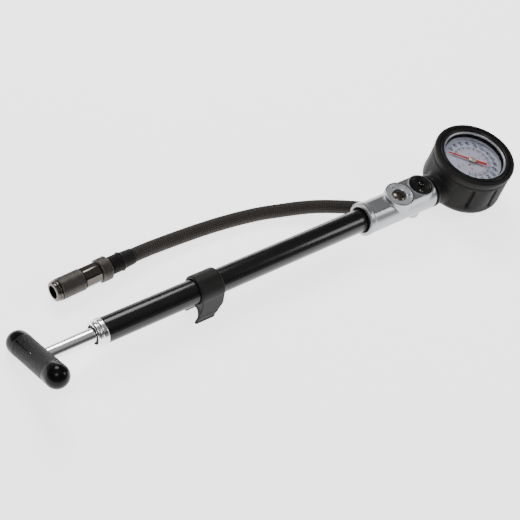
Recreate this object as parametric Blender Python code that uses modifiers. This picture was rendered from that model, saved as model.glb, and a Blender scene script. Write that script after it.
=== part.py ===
"""Shock suspension pump, modelled as its separate pieces.

The pump lies on a flat surface at Z = 0 with its dial up. The barrel runs along X, the T-handle is at
the -X end and the pressure gauge at the +X end. The hose lies on the +Y side. The origin is on the
surface, under the middle of the pump without its hose. Lengths are metres.
"""

import math

import bmesh
import bpy
from mathutils import Matrix, Vector

MM = 0.001

# ---- fits ----
GAP = 0.3 * MM  # between pieces that touch or screw together
RUN = 0.1 * MM  # radial running clearance of a sliding or turning piece

# ---- barrel, rod and gland ----
AXIS_HEIGHT = 18.0 * MM  # pump axis above the surface it lies on
BARREL_R = 8.0 * MM
BARREL_WALL = 2.0 * MM
BARREL_SHOWN = 202.3 * MM  # between the gland cap and the head
SOCKET_DEPTH = 12.0 * MM  # how far the barrel goes into the head
GLAND_R = 8.45 * MM
GLAND_LENGTH = 7.1 * MM
GLAND_BORE_R = 6.2 * MM
GLAND_SPIGOT = 5.0 * MM
WIPER_LENGTH = 2.4 * MM
ROD_R = 4.5 * MM
ROD_OUT = 28.8 * MM  # rod showing between the gland cap and the grip
PISTON_LENGTH = 10.0 * MM
PISTON_REST = 34.0 * MM  # from the head's face back to the piston's front
SEAL_LENGTH = 2.4 * MM
SEAL_DEPTH = 1.0 * MM
SPIGOT_R = 2.5 * MM  # rod's front end, which turns in the piston
CIRCLIP_THICK = 0.8 * MM

# ---- handle ----
GRIP_R = 7.54 * MM
GRIP_HALF = 22.84 * MM  # from the rod's axis to the centre of a domed end
GRIP_SOCKET = 3.0 * MM  # rod end past the grip's centre line
INSERT_R = 6.2 * MM
INSERT_LENGTH = 8.0 * MM

# ---- hose clip ----
CLIP_WALL = 2.05 * MM
CLIP_LENGTH = 17.0 * MM
CLIP_X = -138.0 * MM  # its handle-side face, from the head's face
CLIP_REACH = 3.0 * MM  # how far the hook stands past that face
CLIP_CHEEK = 4.0 * MM  # thickness of the flat side between the band and the jaw
CLIP_SLANT = 6.5 * MM  # how far the hook's gauge-side edge leans back
CHANNEL_R = 4.9 * MM
JAW_WALL = 1.7 * MM
JAW_LIFT = 0.3 * MM  # jaw tips above the surface
BEAD_R = 1.1 * MM
CHANNEL_ANGLE = math.radians(-112.0)

# ---- head ----
HEAD_LENGTH = 61.5 * MM
COLLAR_R = 11.6 * MM
COLLAR_LENGTH = 4.2 * MM
COLLAR_LIP = 1.0 * MM  # collar in front of the head's face plane
NECK_R = 11.1 * MM
NECK_DROP = 0.6 * MM
NECK_FLAT = 9.5 * MM  # flat on top of the neck, above the axis
TOP_HEIGHT = 12.3 * MM  # top of both bosses above the axis
BLEED_X = 30.0 * MM
BLEED_BOSS_R = 10.6 * MM
PORT_X = 49.7 * MM
PORT_BOSS_R = 9.7 * MM
PORT_POCKET_R = 8.35 * MM
PORT_POCKET_DEPTH = 4.9 * MM
LUG_X = 52.5 * MM
LUG_R = 6.2 * MM
PASSAGE_R = 1.5 * MM

# ---- bleed valve ----
RING_R = 9.6 * MM
RING_HEIGHT = 3.3 * MM
RING_HOLE_R = 5.1 * MM
RING_DISH = 1.5 * MM
SPANNER_HOLE_R = 0.9 * MM
SPANNER_CIRCLE_R = 7.3 * MM
SPANNER_ANGLES = (92.0, -26.0)
BUTTON_R = 4.8 * MM
BUTTON_FLANGE_R = 6.0 * MM
BUTTON_TRAVEL = 1.5 * MM
CHAMBER_R = 5.2 * MM
CHAMBER_FLOOR = -9.0 * MM
STEM_R = 1.3 * MM

# ---- check valve ----
CHECK_BORE_R = 3.2 * MM
CHECK_SEAT_LENGTH = 2.7 * MM
CHECK_BALL_R = 1.9 * MM
CHECK_SPRING_LENGTH = 2.6 * MM

# ---- gauge ----
WASHER_R = 11.7 * MM
WASHER_THICK = 1.6 * MM
INLET_R = 5.0 * MM  # brass gauge stem
INLET_DEPTH = 13.0 * MM  # stem inside the head
BOOT_R = 29.3 * MM
BOOT_NECK_R = 10.6 * MM
BOOT_NECK_LENGTH = 5.3 * MM
BOOT_TOP = 22.7 * MM  # above the axis
BOOT_LIP_HEIGHT = 5.0 * MM
BOOT_WALL = 3.4 * MM
BOOT_FOOT_INSET = 11.9 * MM
CASE_WALL = 1.2 * MM
CASE_SHOULDER = -5.0 * MM
CASE_FLOOR = -11.5 * MM
CASE_FLOOR_INSET = 6.1 * MM
BEZEL_THICK = 1.1 * MM
BEZEL_WIDTH = 2.8 * MM
LENS_THICK = 1.6 * MM
LENS_RING_HEIGHT = 1.0 * MM
LENS_RING_WIDTH = 2.5 * MM
SPACER_WIDTH = 3.2 * MM
DIAL_Z = 15.0 * MM  # top of the dial plate, above the axis
DIAL_THICK = 0.6 * MM
POINTER_CLEARANCE = 2.5 * MM  # between its tip and the spacer
POINTER_TAIL = 10.8 * MM
POINTER_REST = math.radians(131.0)
HUB_R = 2.6 * MM
ARBOR_R = 0.8 * MM
GEAR_RATIO = 5  # sector to pinion
MESH_GAP = 0.2 * MM
BOURDON_INSET = 5.625 * MM  # from the inside of the case
BOURDON_TUBE_R = 1.6 * MM

# ---- hose and its two ends ----
HOSE_R = 4.7 * MM
HOSE_LIFT = 0.1 * MM  # lowest point of the hose above the surface
HOSE_PORT_ANGLE = math.radians(146.0)
HOSE_PORT_DROP = 7.5 * MM
HOSE_BOSS_R = 5.8 * MM
HOSE_BOSS_CLEARANCE = 2.625 * MM  # between the barrel and the middle of the boss's end
FERRULE_R = 5.0 * MM
FERRULE_LENGTH = 6.7 * MM
ADAPTER_R = 3.0 * MM
CHUCK_ANGLE = math.radians(183.15)
CHUCK_START = Vector((-152.0 * MM, 46.5 * MM))  # hose end of the chuck's boot, from the head's face

# ---- valve chuck, from its hose end to its mouth ----
CHUCK_BOOT_LENGTH = 18.6 * MM
CHUCK_BOOT_R = 5.9 * MM
KNOB_R = 7.75 * MM
KNOB_LENGTH = 7.4 * MM
HEX_R = 6.5 * MM
HEX_LENGTH = 11.4 * MM
NIPPLE_R = 3.0 * MM
SWIVEL_R = 5.0 * MM
SWIVEL_LENGTH = 7.7 * MM
THIMBLE_R = 7.0 * MM
THIMBLE_LENGTH = 16.5 * MM
TIP_LENGTH = 3.5 * MM
VALVE_BORE_R = 4.1 * MM
GASKET_LENGTH = 2.0 * MM
PIN_R = 1.2 * MM
PIN_LENGTH = 11.0 * MM

# ---- resolution ----
COARSE = 12
ROUND = 20
FINE = 32
FINEST = 36
TOOL_TURN = math.radians(2.3)  # cutters' corners stay clear of the corners that they meet

# ---- positions worked out from the sizes, along the pump axis from the head's face ----
GLAND_FACE = -(BARREL_SHOWN + GLAND_LENGTH)
GRIP_X = GLAND_FACE - ROD_OUT - GRIP_R
WASHER_X = HEAD_LENGTH + GAP
BOOT_NECK_X = WASHER_X + WASHER_THICK + GAP
GAUGE_X = BOOT_NECK_X + BOOT_NECK_LENGTH + BOOT_R
HEAD_FACE_X = -(GRIP_X - GRIP_R + GAUGE_X + BOOT_R) / 2
BORE_R = BARREL_R - BARREL_WALL
HOSE_BOSS_END = (BARREL_R + HOSE_BOSS_CLEARANCE) / math.sin(HOSE_PORT_ANGLE)
BOOT_FOOT_R = BOOT_R - BOOT_FOOT_INSET
CASE_R = BOOT_R - BOOT_WALL - GAP
CASE_FLOOR_R = CASE_R - CASE_FLOOR_INSET
CASE_ROOM_R = CASE_R - CASE_WALL - GAP
BEZEL_HOLE_R = CASE_R - BEZEL_WIDTH
LENS_RING_HOLE_R = CASE_ROOM_R - LENS_RING_WIDTH
SPACER_HOLE_R = CASE_ROOM_R - SPACER_WIDTH
POINTER_REACH = SPACER_HOLE_R - POINTER_CLEARANCE
BOURDON_R = CASE_ROOM_R - BOURDON_INSET
MOVEMENT_HALF = (BOURDON_R - BOURDON_TUBE_R) * 8 / 15
SECTOR_R = MOVEMENT_HALF * 5 / 6
PINION_R = SECTOR_R / GEAR_RATIO

# The hose's own route, from the head's face and the pump's axis: X, Y and height above the axis.
HOSE_ROUTE = [
    (-6.6, 24.0, -8.9),
    (-15.6, 28.9, -10.0),
    (-25.2, 33.3, -11.3),
    (-38.6, 38.0, -12.6),
    (-52.6, 42.0, -13.2),
    (-68.0, 44.6, -13.2),
    (-83.0, 46.4, -13.2),
    (-98.5, 47.6, -13.2),
    (-114.0, 48.2, -13.1),
    (-127.0, 48.2, -12.5),
    (-139.0, 47.5, -11.1),
]


def clear_scene():
    for obj in list(bpy.data.objects):
        bpy.data.objects.remove(obj, do_unlink=True)


def new_collection(name):
    collection = bpy.data.collections.new(name)
    bpy.context.scene.collection.children.link(collection)
    return collection


clear_scene()
PARTS = new_collection("shock_pump")
TOOLS = new_collection("cutters")


def finish(name, colour, roughness, metallic=0.0, alpha=1.0):
    """A Principled material with one colour."""
    material = bpy.data.materials.new(name)
    material.use_nodes = True
    shader = material.node_tree.nodes["Principled BSDF"]
    shader.inputs["Base Color"].default_value = (*colour, 1.0)
    shader.inputs["Roughness"].default_value = roughness
    shader.inputs["Metallic"].default_value = metallic
    shader.inputs["Alpha"].default_value = alpha
    material.diffuse_color = (*colour, alpha)
    return material


ANODISED = finish("black_anodised", (0.035, 0.035, 0.037), 0.35, 0.6)
CHROME = finish("chrome", (0.85, 0.85, 0.86), 0.08, 1.0)
SILVER = finish("satin_silver", (0.62, 0.62, 0.63), 0.32, 0.9)
BRASS = finish("brass", (0.72, 0.55, 0.28), 0.3, 1.0)
STEEL = finish("steel", (0.55, 0.55, 0.56), 0.3, 1.0)
GUNMETAL = finish("gunmetal", (0.16, 0.15, 0.14), 0.35, 0.8)
GRIP_BLACK = finish("grip_plastic", (0.02, 0.02, 0.021), 0.5)
PLASTIC = finish("black_plastic", (0.03, 0.03, 0.031), 0.45)
RUBBER = finish("black_rubber", (0.028, 0.027, 0.026), 0.65)
BRAID = finish("braided_hose", (0.05, 0.042, 0.036), 0.6)
PAPER = finish("dial_face", (0.72, 0.73, 0.82), 0.5)
GLASS = finish("clear_lens", (0.9, 0.92, 0.95), 0.05, 0.0, 0.3)
RED = finish("pointer_red", (0.62, 0.08, 0.07), 0.4)


CROWDED = ("head_body", "hose_clip")  # many cuts meet in these, which leave the exact solver with open edges


# ---- building blocks ----
def new_axis(name, location, rotation=(0.0, 0.0, 0.0), parent=None):
    """An empty whose local Z is the axis that pieces are turned or moved about."""
    empty = bpy.data.objects.new(name, None)
    empty.location = location
    empty.rotation_euler = rotation
    empty.parent = parent
    PARTS.objects.link(empty)
    return empty


def place(obj, axis, material=None, location=(0.0, 0.0, 0.0)):
    """Puts a piece on an axis. With no material it is a cutter."""
    obj.parent = axis
    obj.location = location
    if material is None:
        obj.hide_render = True
        obj.display_type = "WIRE"
        TOOLS.objects.link(obj)
    else:
        obj.data.materials.append(material)
        PARTS.objects.link(obj)
    return obj


def turned(name, points, axis, material=None, steps=ROUND, closed=False, turn=None):
    """A profile of (radius, height) points, top to bottom down its outer side, spun about the axis."""
    mesh = bpy.data.meshes.new(name)
    corners = [(radius, 0.0, height) for radius, height in points]
    edges = [(i, i + 1) for i in range(len(corners) - 1)]
    if closed:
        edges.append((len(corners) - 1, 0))
    mesh.from_pydata(corners, edges, [])
    obj = place(bpy.data.objects.new(name, mesh), axis, material)
    if turn is None:
        turn = TOOL_TURN if material is None else 0.0
    obj.rotation_euler = (0.0, 0.0, turn)
    screw = obj.modifiers.new("Turn", "SCREW")
    screw.axis = "Z"
    screw.angle = 2 * math.pi
    screw.steps = steps
    screw.render_steps = steps
    screw.use_merge_vertices = True
    screw.merge_threshold = 0.00001
    screw.use_smooth_shade = True
    return obj


def ring(name, inner, outer, low, high, axis, material=None, steps=ROUND):
    """A plain ring between two heights."""
    loop = [(inner, high), (outer, high), (outer, low), (inner, low)]
    return turned(name, loop, axis, material, steps, closed=True)


def rod(name, radius, low, high, axis, material=None, steps=ROUND, turn=None):
    """A plain solid cylinder between two heights."""
    line = [(0.0, high), (radius, high), (radius, low), (0.0, low)]
    return turned(name, line, axis, material, steps, turn=turn)


def block(name, low, high, axis, material=None):
    """A box between two corners, in the axis's own frame."""
    mesh = bpy.data.meshes.new(name)
    shape = bmesh.new()
    bmesh.ops.create_cube(shape, size=1.0)
    size = [b - a for a, b in zip(low, high)]
    middle = [(a + b) / 2 for a, b in zip(low, high)]
    shape.transform(Matrix.Translation(middle) @ Matrix.Diagonal((*size, 1.0)))
    shape.to_mesh(mesh)
    shape.free()
    return place(bpy.data.objects.new(name, mesh), axis, material)


def combine(obj, tool, operation="DIFFERENCE"):
    modifier = obj.modifiers.new(tool.name, "BOOLEAN")
    modifier.operation = operation
    modifier.object = tool
    modifier.solver = "MANIFOLD" if obj.name in CROWDED else "EXACT"


def join(obj, *tools):
    for tool in tools:
        combine(obj, tool, "UNION")


def cut(obj, *tools):
    for tool in tools:
        combine(obj, tool)


def tube(name, points, radius, axis, material, resolution=2):
    """A round wire or hose along straight segments between the points."""
    curve = bpy.data.curves.new(name, "CURVE")
    curve.dimensions = "3D"
    curve.bevel_depth = radius
    curve.bevel_resolution = resolution
    curve.use_fill_caps = True
    spline = curve.splines.new("POLY")
    spline.points.add(len(points) - 1)
    for point, place_at in zip(spline.points, points):
        point.co = (*place_at, 1.0)
    return place(bpy.data.objects.new(name, curve), axis, material)


def coil(name, radius, wire, low, high, turns, axis, material):
    """A compression spring between two heights."""
    steps = int(turns * 8)
    inside_low = low + wire
    inside_high = high - wire
    points = []
    for i in range(steps + 1):
        angle = 2 * math.pi * turns * i / steps
        height = inside_low + (inside_high - inside_low) * i / steps
        points.append((radius * math.cos(angle), radius * math.sin(angle), height))
    return tube(name, points, wire, axis, material, 1)


def smooth_route(route, spacing):
    """Points along a Catmull-Rom curve through the route, about one spacing apart."""
    fine = []
    last = len(route) - 1
    for i in range(last):
        before, start = route[max(i - 1, 0)], route[i]
        end, after = route[i + 1], route[min(i + 2, last)]
        for step in range(16):
            t = step / 16
            fine.append(
                0.5 * (2 * start + (end - before) * t + (2 * before - 5 * start + 4 * end - after) * t**2
                       + (3 * start - before - 3 * end + after) * t**3)
            )
    fine.append(route[-1])
    lengths = [0.0]
    for a, b in zip(fine, fine[1:]):
        lengths.append(lengths[-1] + (b - a).length)
    count = max(2, round(lengths[-1] / spacing))
    points = []
    for k in range(count + 1):
        wanted = lengths[-1] * k / count
        i = next((j for j in range(1, len(fine)) if lengths[j] >= wanted - 1e-9), len(fine) - 1)
        share = (wanted - lengths[i - 1]) / max(lengths[i] - lengths[i - 1], 1e-9)
        points.append(fine[i - 1].lerp(fine[i], share))
    return points


# ---- the axes that the pump is built on ----
QUARTER = math.pi / 2
pump_axis = new_axis("pump_axis", (HEAD_FACE_X, 0.0, AXIS_HEIGHT), (0.0, QUARTER, 0.0))
bleed_axis = new_axis("bleed_axis", (HEAD_FACE_X + BLEED_X, 0.0, AXIS_HEIGHT))
port_axis = new_axis("port_axis", (HEAD_FACE_X + PORT_X, 0.0, AXIS_HEIGHT))
lug_axis = new_axis("lug_axis", (HEAD_FACE_X + LUG_X, 0.0, AXIS_HEIGHT))
gauge_axis = new_axis("gauge_axis", (HEAD_FACE_X + GAUGE_X, 0.0, AXIS_HEIGHT))
hose_port_axis = new_axis(
    "hose_port_axis",
    (HEAD_FACE_X + BLEED_X, 0.0, AXIS_HEIGHT - HOSE_PORT_DROP),
    (0.0, QUARTER, HOSE_PORT_ANGLE),
)
chuck_axis = new_axis(
    "chuck_axis",
    (HEAD_FACE_X + CHUCK_START.x, CHUCK_START.y, KNOB_R + HOSE_LIFT),
    (0.0, QUARTER, CHUCK_ANGLE),
)
# The T-handle hangs over until its far end touches the surface.
HANDLE_TILT = math.asin((AXIS_HEIGHT - GRIP_R) / GRIP_HALF)
handle_axis = new_axis(
    "handle_axis", (HEAD_FACE_X + GRIP_X, 0.0, AXIS_HEIGHT), (-QUARTER - HANDLE_TILT, 0.0, 0.0)
)


# ---- barrel and gland ----
def make_barrel():
    ring("barrel", BORE_R, BARREL_R, -BARREL_SHOWN, SOCKET_DEPTH - GAP, pump_axis, ANODISED, FINE)
    low = 0.2 * MM - COLLAR_LIP
    ring("barrel_o_ring", BARREL_R + GAP, BARREL_R + 1.1 * MM, low, 0.7 * MM, pump_axis, RUBBER, FINE)


def make_gland():
    front = GLAND_FACE
    back = -BARREL_SHOWN - GAP
    groove = 0.9 * MM
    profile = [
        (ROD_R + GAP, back + GAP + GLAND_SPIGOT),
        (BORE_R - GAP, back + GAP + GLAND_SPIGOT),
        (BORE_R - GAP, back),
        (GLAND_R - 0.4 * MM, back),
        (GLAND_R, back - 0.4 * MM),
        (GLAND_R, front + 4.0 * MM),
        (GLAND_R - 0.4 * MM, front + 3.4 * MM),
        (GLAND_R - groove, front + 3.1 * MM),
        (GLAND_R - groove, front + 2.6 * MM),
        (GLAND_R - 0.6 * MM, front + 2.4 * MM),
        (GLAND_R - 0.6 * MM, front + 0.7 * MM),
        (GLAND_R - 1.2 * MM, front),
        (GLAND_BORE_R, front),
        (GLAND_BORE_R, back - GAP),
        (ROD_R + GAP, back - GAP),
    ]
    turned("gland_cap", profile, pump_axis, CHROME, FINE, closed=True)
    wiper_back = front + 0.4 * MM + WIPER_LENGTH
    outer = GLAND_BORE_R - GAP
    ring("rod_wiper", ROD_R + RUN, outer, front + 0.4 * MM, wiper_back, pump_axis, RUBBER, FINE)
    ring("rod_bush", ROD_R + RUN, outer, wiper_back + GAP, back - 2 * GAP, pump_axis, BRASS, FINE)


# ---- plunger: rod, piston and handle ----
def make_plunger():
    rear = -PISTON_REST - PISTON_LENGTH
    shoulder = rear - GAP
    nose = -PISTON_REST + GAP + CIRCLIP_THICK + 0.8 * MM
    profile = [
        (0.0, nose),
        (SPIGOT_R, nose),
        (SPIGOT_R, shoulder),
        (ROD_R, shoulder),
        (ROD_R, GRIP_X - GRIP_SOCKET),
        (0.0, GRIP_X - GRIP_SOCKET),
    ]
    turned("rod", profile, pump_axis, CHROME)
    piston_r = BORE_R - 2 * RUN
    groove_r = BORE_R - RUN - SEAL_DEPTH - GAP
    seal_low = rear + (PISTON_LENGTH - SEAL_LENGTH) / 2
    seal_high = seal_low + SEAL_LENGTH
    profile = [
        (SPIGOT_R + GAP, -PISTON_REST),
        (piston_r, -PISTON_REST),
        (piston_r, seal_high + GAP),
        (groove_r, seal_high + GAP),
        (groove_r, seal_low - GAP),
        (piston_r, seal_low - GAP),
        (piston_r, rear),
        (SPIGOT_R + GAP, rear),
    ]
    turned("piston", profile, pump_axis, BRASS, closed=True)
    ring("piston_seal", groove_r + GAP, BORE_R - RUN, seal_low, seal_high, pump_axis, RUBBER)
    clip_low = -PISTON_REST + GAP
    clip_high = clip_low + CIRCLIP_THICK
    ring("piston_circlip", SPIGOT_R + GAP, SPIGOT_R + 1.6 * MM, clip_low, clip_high, pump_axis, STEEL, COARSE)


def make_handle():
    steps = 5
    dome = [(GRIP_R * math.sin(QUARTER * i / steps), GRIP_HALF + GRIP_R * math.cos(QUARTER * i / steps))
            for i in range(steps + 1)]
    profile = dome + [(radius, -height) for radius, height in reversed(dome)]
    grip = turned("handle_grip", profile, handle_axis, GRIP_BLACK)
    hole = rod("grip_rod_hole", ROD_R + GAP, GRIP_X - GRIP_SOCKET - GAP, GRIP_X + 2 * GRIP_R, pump_axis)
    insert_low = GRIP_X - INSERT_LENGTH / 2
    insert_high = insert_low + INSERT_LENGTH
    room = rod("grip_insert_room", INSERT_R + GAP, insert_low - GAP, insert_high + GAP, pump_axis)
    cut(grip, hole, room)
    ring("handle_insert", ROD_R + GAP, INSERT_R, insert_low, insert_high, pump_axis, STEEL)


# ---- hose clip on the barrel ----
def make_clip():
    bore = BARREL_R + RUN
    outer = bore + CLIP_WALL
    low, high = CLIP_X, CLIP_X + CLIP_LENGTH
    clip = ring("hose_clip", bore - 0.5 * MM, outer, low, high, pump_axis, PLASTIC, FINE)
    reach = outer + CHANNEL_R
    centre_y = reach * math.cos(CHANNEL_ANGLE)
    centre_z = reach * math.sin(CHANNEL_ANGLE)
    tip_z = JAW_LIFT - AXIS_HEIGHT
    channel_axis = new_axis(
        "channel_axis", (HEAD_FACE_X, centre_y, AXIS_HEIGHT + centre_z), (0.0, QUARTER, 0.0)
    )
    start = low - CLIP_REACH
    jaw = CHANNEL_R + JAW_WALL
    # In this frame local X points down, so the jaws run along +X to their tips.
    drop = centre_z - tip_z
    hook = rod("clip_hook", jaw, start, high, channel_axis)
    slip = 0.05 * MM
    flat = jaw - slip
    jaws = block("clip_jaws", (0.0, -flat, start), (drop - BEAD_R, flat, high), channel_axis)
    bead = rod("clip_bead", BEAD_R, start, high, new_axis(
        "bead_axis",
        (HEAD_FACE_X, centre_y - CHANNEL_R - BEAD_R, AXIS_HEIGHT + tip_z + BEAD_R),
        (0.0, QUARTER, 0.0),
    ), steps=COARSE)
    far_bead = rod("clip_far_lip", BEAD_R * 0.8, start, high, new_axis(
        "far_lip_axis",
        (HEAD_FACE_X, centre_y + CHANNEL_R + BEAD_R * 0.8, AXIS_HEIGHT + tip_z + BEAD_R),
        (0.0, QUARTER, 0.0),
    ), steps=COARSE)
    beyond = 1.0 * MM
    trim = block(
        "clip_trim",
        (drop - BEAD_R, -2 * jaw, start - beyond),
        (2 * jaw, 2 * jaw, high + beyond),
        channel_axis,
    )
    # A flat cheek joins the band's side to the jaw, on the side away from the hose.
    fall = AXIS_HEIGHT - BARREL_R
    pivot = BARREL_R - 1.0 * MM
    side_axis = new_axis(
        "side_axis", (HEAD_FACE_X, 2 * slip - outer, AXIS_HEIGHT), (0.0, QUARTER, 0.0)
    )
    lean = math.atan2(flat - centre_y - outer, -centre_z)
    cheek_axis = new_axis("cheek_axis", (0.0, 0.0, 0.0), (0.0, 0.0, -lean), side_axis)
    cheek = block("clip_cheek", (0.0, 0.0, low), (pivot + RUN, CLIP_CHEEK, high), cheek_axis)
    lower_cheek = block(
        "clip_lower_cheek", (pivot, slip, start), (-centre_z + RUN, CLIP_CHEEK - slip, high), cheek_axis
    )
    join(clip, hook, jaws, cheek, lower_cheek)
    cut(clip, trim)
    join(clip, bead, far_bead)
    channel = rod("clip_channel", CHANNEL_R, start - beyond, high + beyond, channel_axis)
    mouth = block(
        "clip_mouth",
        (0.0, slip - CHANNEL_R, start - beyond),
        (drop + 2 * beyond, CHANNEL_R - slip, high + beyond),
        channel_axis,
    )
    cut(clip, channel, mouth)
    barrel_room = rod("clip_bore", bore, start - beyond, high + beyond, pump_axis, steps=FINE)
    cut(clip, barrel_room)
    # Going down, both edges of the hook lean towards the handle.
    depth = 2 * AXIS_HEIGHT
    wide = 3 * jaw
    for name, edge, lean, side in (
        ("clip_back_slant", high, CLIP_SLANT, (0.0, depth)),
        ("clip_front_slant", low, CLIP_REACH, (-depth, 0.0)),
    ):
        at = (HEAD_FACE_X + edge, 0.0, AXIS_HEIGHT - pivot)
        slant_axis = new_axis(name + "_axis", at, (0.0, math.atan2(lean, fall), 0.0))
        cut(clip, block(name, (side[0], -wide, -depth), (side[1], wide, 0.0), slant_axis))


# ---- head ----
def make_head():
    low = -COLLAR_LIP
    bevel = 0.5 * MM
    collar_end = low + COLLAR_LENGTH
    profile = [
        (0.0, collar_end + bevel),
        (NECK_R - NECK_DROP - bevel, collar_end + bevel),
        (COLLAR_R, collar_end),
        (COLLAR_R, low + bevel),
        (COLLAR_R - bevel, low),
        (0.0, low),
    ]
    head = turned("head_body", profile, pump_axis, SILVER, FINE)
    neck_axis = new_axis("neck_axis", (HEAD_FACE_X, 0.0, AXIS_HEIGHT - NECK_DROP), (0.0, QUARTER, 0.0))
    neck_profile = [
        (0.0, HEAD_LENGTH),
        (NECK_R - 2 * bevel, HEAD_LENGTH),
        (NECK_R, HEAD_LENGTH - 2 * bevel),
        (NECK_R, collar_end - bevel),
        (0.0, collar_end - bevel),
    ]
    join(head, turned("head_neck", neck_profile, neck_axis, steps=FINE))
    beyond = 2.0 * MM
    cut(head, block(
        "neck_flat",
        (collar_end + bevel - BLEED_X, -COLLAR_R, NECK_FLAT),
        (0.0, COLLAR_R, TOP_HEIGHT + beyond),
        bleed_axis,
    ))
    boss_foot = -NECK_R / 2
    for name, radius, axis in (
        ("bleed_boss", BLEED_BOSS_R, bleed_axis),
        ("port_boss", PORT_BOSS_R, port_axis),
    ):
        boss = [
            (0.0, TOP_HEIGHT),
            (radius - bevel, TOP_HEIGHT),
            (radius, TOP_HEIGHT - bevel),
            (radius, boss_foot),
            (0.0, boss_foot),
        ]
        join(head, turned(name, boss, axis, steps=FINE))
    web_y = PORT_BOSS_R - 0.3 * MM
    web_corner = (PORT_X - BLEED_X, web_y, TOP_HEIGHT - 0.3 * MM)
    join(head, block("boss_web", (0.0, -web_y, 0.0), web_corner, bleed_axis))
    lug_profile = [
        (0.0, 0.0),
        (LUG_R, 0.0),
        (LUG_R, bevel - AXIS_HEIGHT),
        (LUG_R - bevel, -AXIS_HEIGHT),
        (0.0, -AXIS_HEIGHT),
    ]
    join(head, turned("head_lug", lug_profile, lug_axis))
    join(head, rod("hose_boss", HOSE_BOSS_R, 0.0, HOSE_BOSS_END, hose_port_axis))
    make_head_bores(head, beyond)


def make_head_bores(head, beyond):
    check_end = SOCKET_DEPTH + 2 * GAP + CHECK_SEAT_LENGTH + 2 * CHECK_BALL_R + CHECK_SPRING_LENGTH + 1.2 * MM
    button_floor = button_low() - BUTTON_TRAVEL - GAP
    pocket_floor = TOP_HEIGHT - PORT_POCKET_DEPTH
    open_end = -COLLAR_LIP - beyond
    relief_end = HOSE_BOSS_END + 3 * FERRULE_LENGTH
    cut(
        head,
        rod("barrel_socket", BARREL_R + GAP, open_end, SOCKET_DEPTH, pump_axis, steps=FINE),
        ring("o_ring_groove", BARREL_R, BARREL_R + 1.4 * MM, open_end, 1.0 * MM, pump_axis, steps=FINE),
        rod("check_bore", CHECK_BORE_R, 0.0, check_end, pump_axis),
        rod("air_passage", PASSAGE_R, 0.0, HEAD_LENGTH - 1.0 * MM, pump_axis, steps=COARSE),
        rod("stem_bore", INLET_R + GAP, HEAD_LENGTH - INLET_DEPTH - GAP, HEAD_LENGTH + beyond, pump_axis),
        rod("bleed_chamber", CHAMBER_R, CHAMBER_FLOOR, TOP_HEIGHT + beyond, bleed_axis),
        rod("button_room", BUTTON_FLANGE_R + GAP, button_floor, TOP_HEIGHT + beyond, bleed_axis),
        rod("ring_room", RING_R + GAP, ring_low() - GAP, TOP_HEIGHT + beyond, bleed_axis, steps=FINE),
        rod("port_pocket", PORT_POCKET_R, pocket_floor, TOP_HEIGHT + beyond, port_axis, steps=FINE),
        rod("hose_bore", ADAPTER_R + GAP, 0.0, HOSE_BOSS_END + beyond, hose_port_axis),
        rod("hose_relief", FERRULE_R + GAP, HOSE_BOSS_END, relief_end, hose_port_axis),
    )


# ---- bleed valve ----
def ring_low():
    return TOP_HEIGHT - 0.1 * MM - RING_HEIGHT


def button_low():
    return ring_low() - GAP - 1.3 * MM


def make_bleed_valve():
    top = TOP_HEIGHT - 0.1 * MM
    profile = [
        (RING_HOLE_R, top - RING_DISH),
        (RING_R - 1.6 * MM, top - RING_DISH + 0.5 * MM),
        (RING_R - 1.1 * MM, top),
        (RING_R, top),
        (RING_R, ring_low()),
        (RING_HOLE_R, ring_low()),
    ]
    insert = turned("bleed_ring", profile, bleed_axis, SILVER, FINE, closed=True)
    for i, angle in enumerate(SPANNER_ANGLES):
        turn = math.radians(angle)
        at = (
            HEAD_FACE_X + BLEED_X + SPANNER_CIRCLE_R * math.cos(turn),
            SPANNER_CIRCLE_R * math.sin(turn),
            AXIS_HEIGHT,
        )
        spot = new_axis(f"spanner_axis_{i + 1}", at)
        floor = top - RING_DISH - 1.0 * MM
        cut(insert, rod(f"spanner_hole_{i + 1}", SPANNER_HOLE_R, floor, top + GAP, spot, steps=COARSE))
    crown = top - 0.6 * MM
    profile = [(0.0, crown)]
    for share, drop in ((0.45, 0.2), (0.75, 0.7), (0.93, 1.4)):
        profile.append((BUTTON_R * share, crown - drop * MM))
    profile += [
        (BUTTON_R, ring_low() + 0.5 * MM),
        (BUTTON_R, ring_low() - GAP),
        (BUTTON_FLANGE_R, ring_low() - GAP),
        (BUTTON_FLANGE_R, button_low()),
        (0.0, button_low()),
    ]
    turned("bleed_button", profile, bleed_axis, GUNMETAL)
    stem_top = button_low() - GAP
    disc_top = 0.75 * MM
    disc_r = CHAMBER_R - 1.8 * MM
    profile = [
        (0.0, stem_top),
        (STEM_R, stem_top),
        (STEM_R, disc_top),
        (disc_r, disc_top),
        (disc_r, disc_top - 1.4 * MM),
        (0.0, disc_top - 1.4 * MM),
    ]
    turned("bleed_stem", profile, bleed_axis, BRASS, COARSE)
    seal_low = disc_top + GAP
    seal_high = seal_low + 0.6 * MM
    ring("bleed_seal", STEM_R + GAP, disc_r - 0.2 * MM, seal_low, seal_high, bleed_axis, RUBBER, COARSE)
    guide_low = seal_high + GAP
    guide_high = guide_low + 1.8 * MM
    ring("bleed_guide", STEM_R + GAP, CHAMBER_R - GAP, guide_low, guide_high, bleed_axis, BRASS)
    coil("bleed_spring", 3.2 * MM, 0.3 * MM, guide_high + GAP, button_low() - GAP, 2.5, bleed_axis, STEEL)


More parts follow.
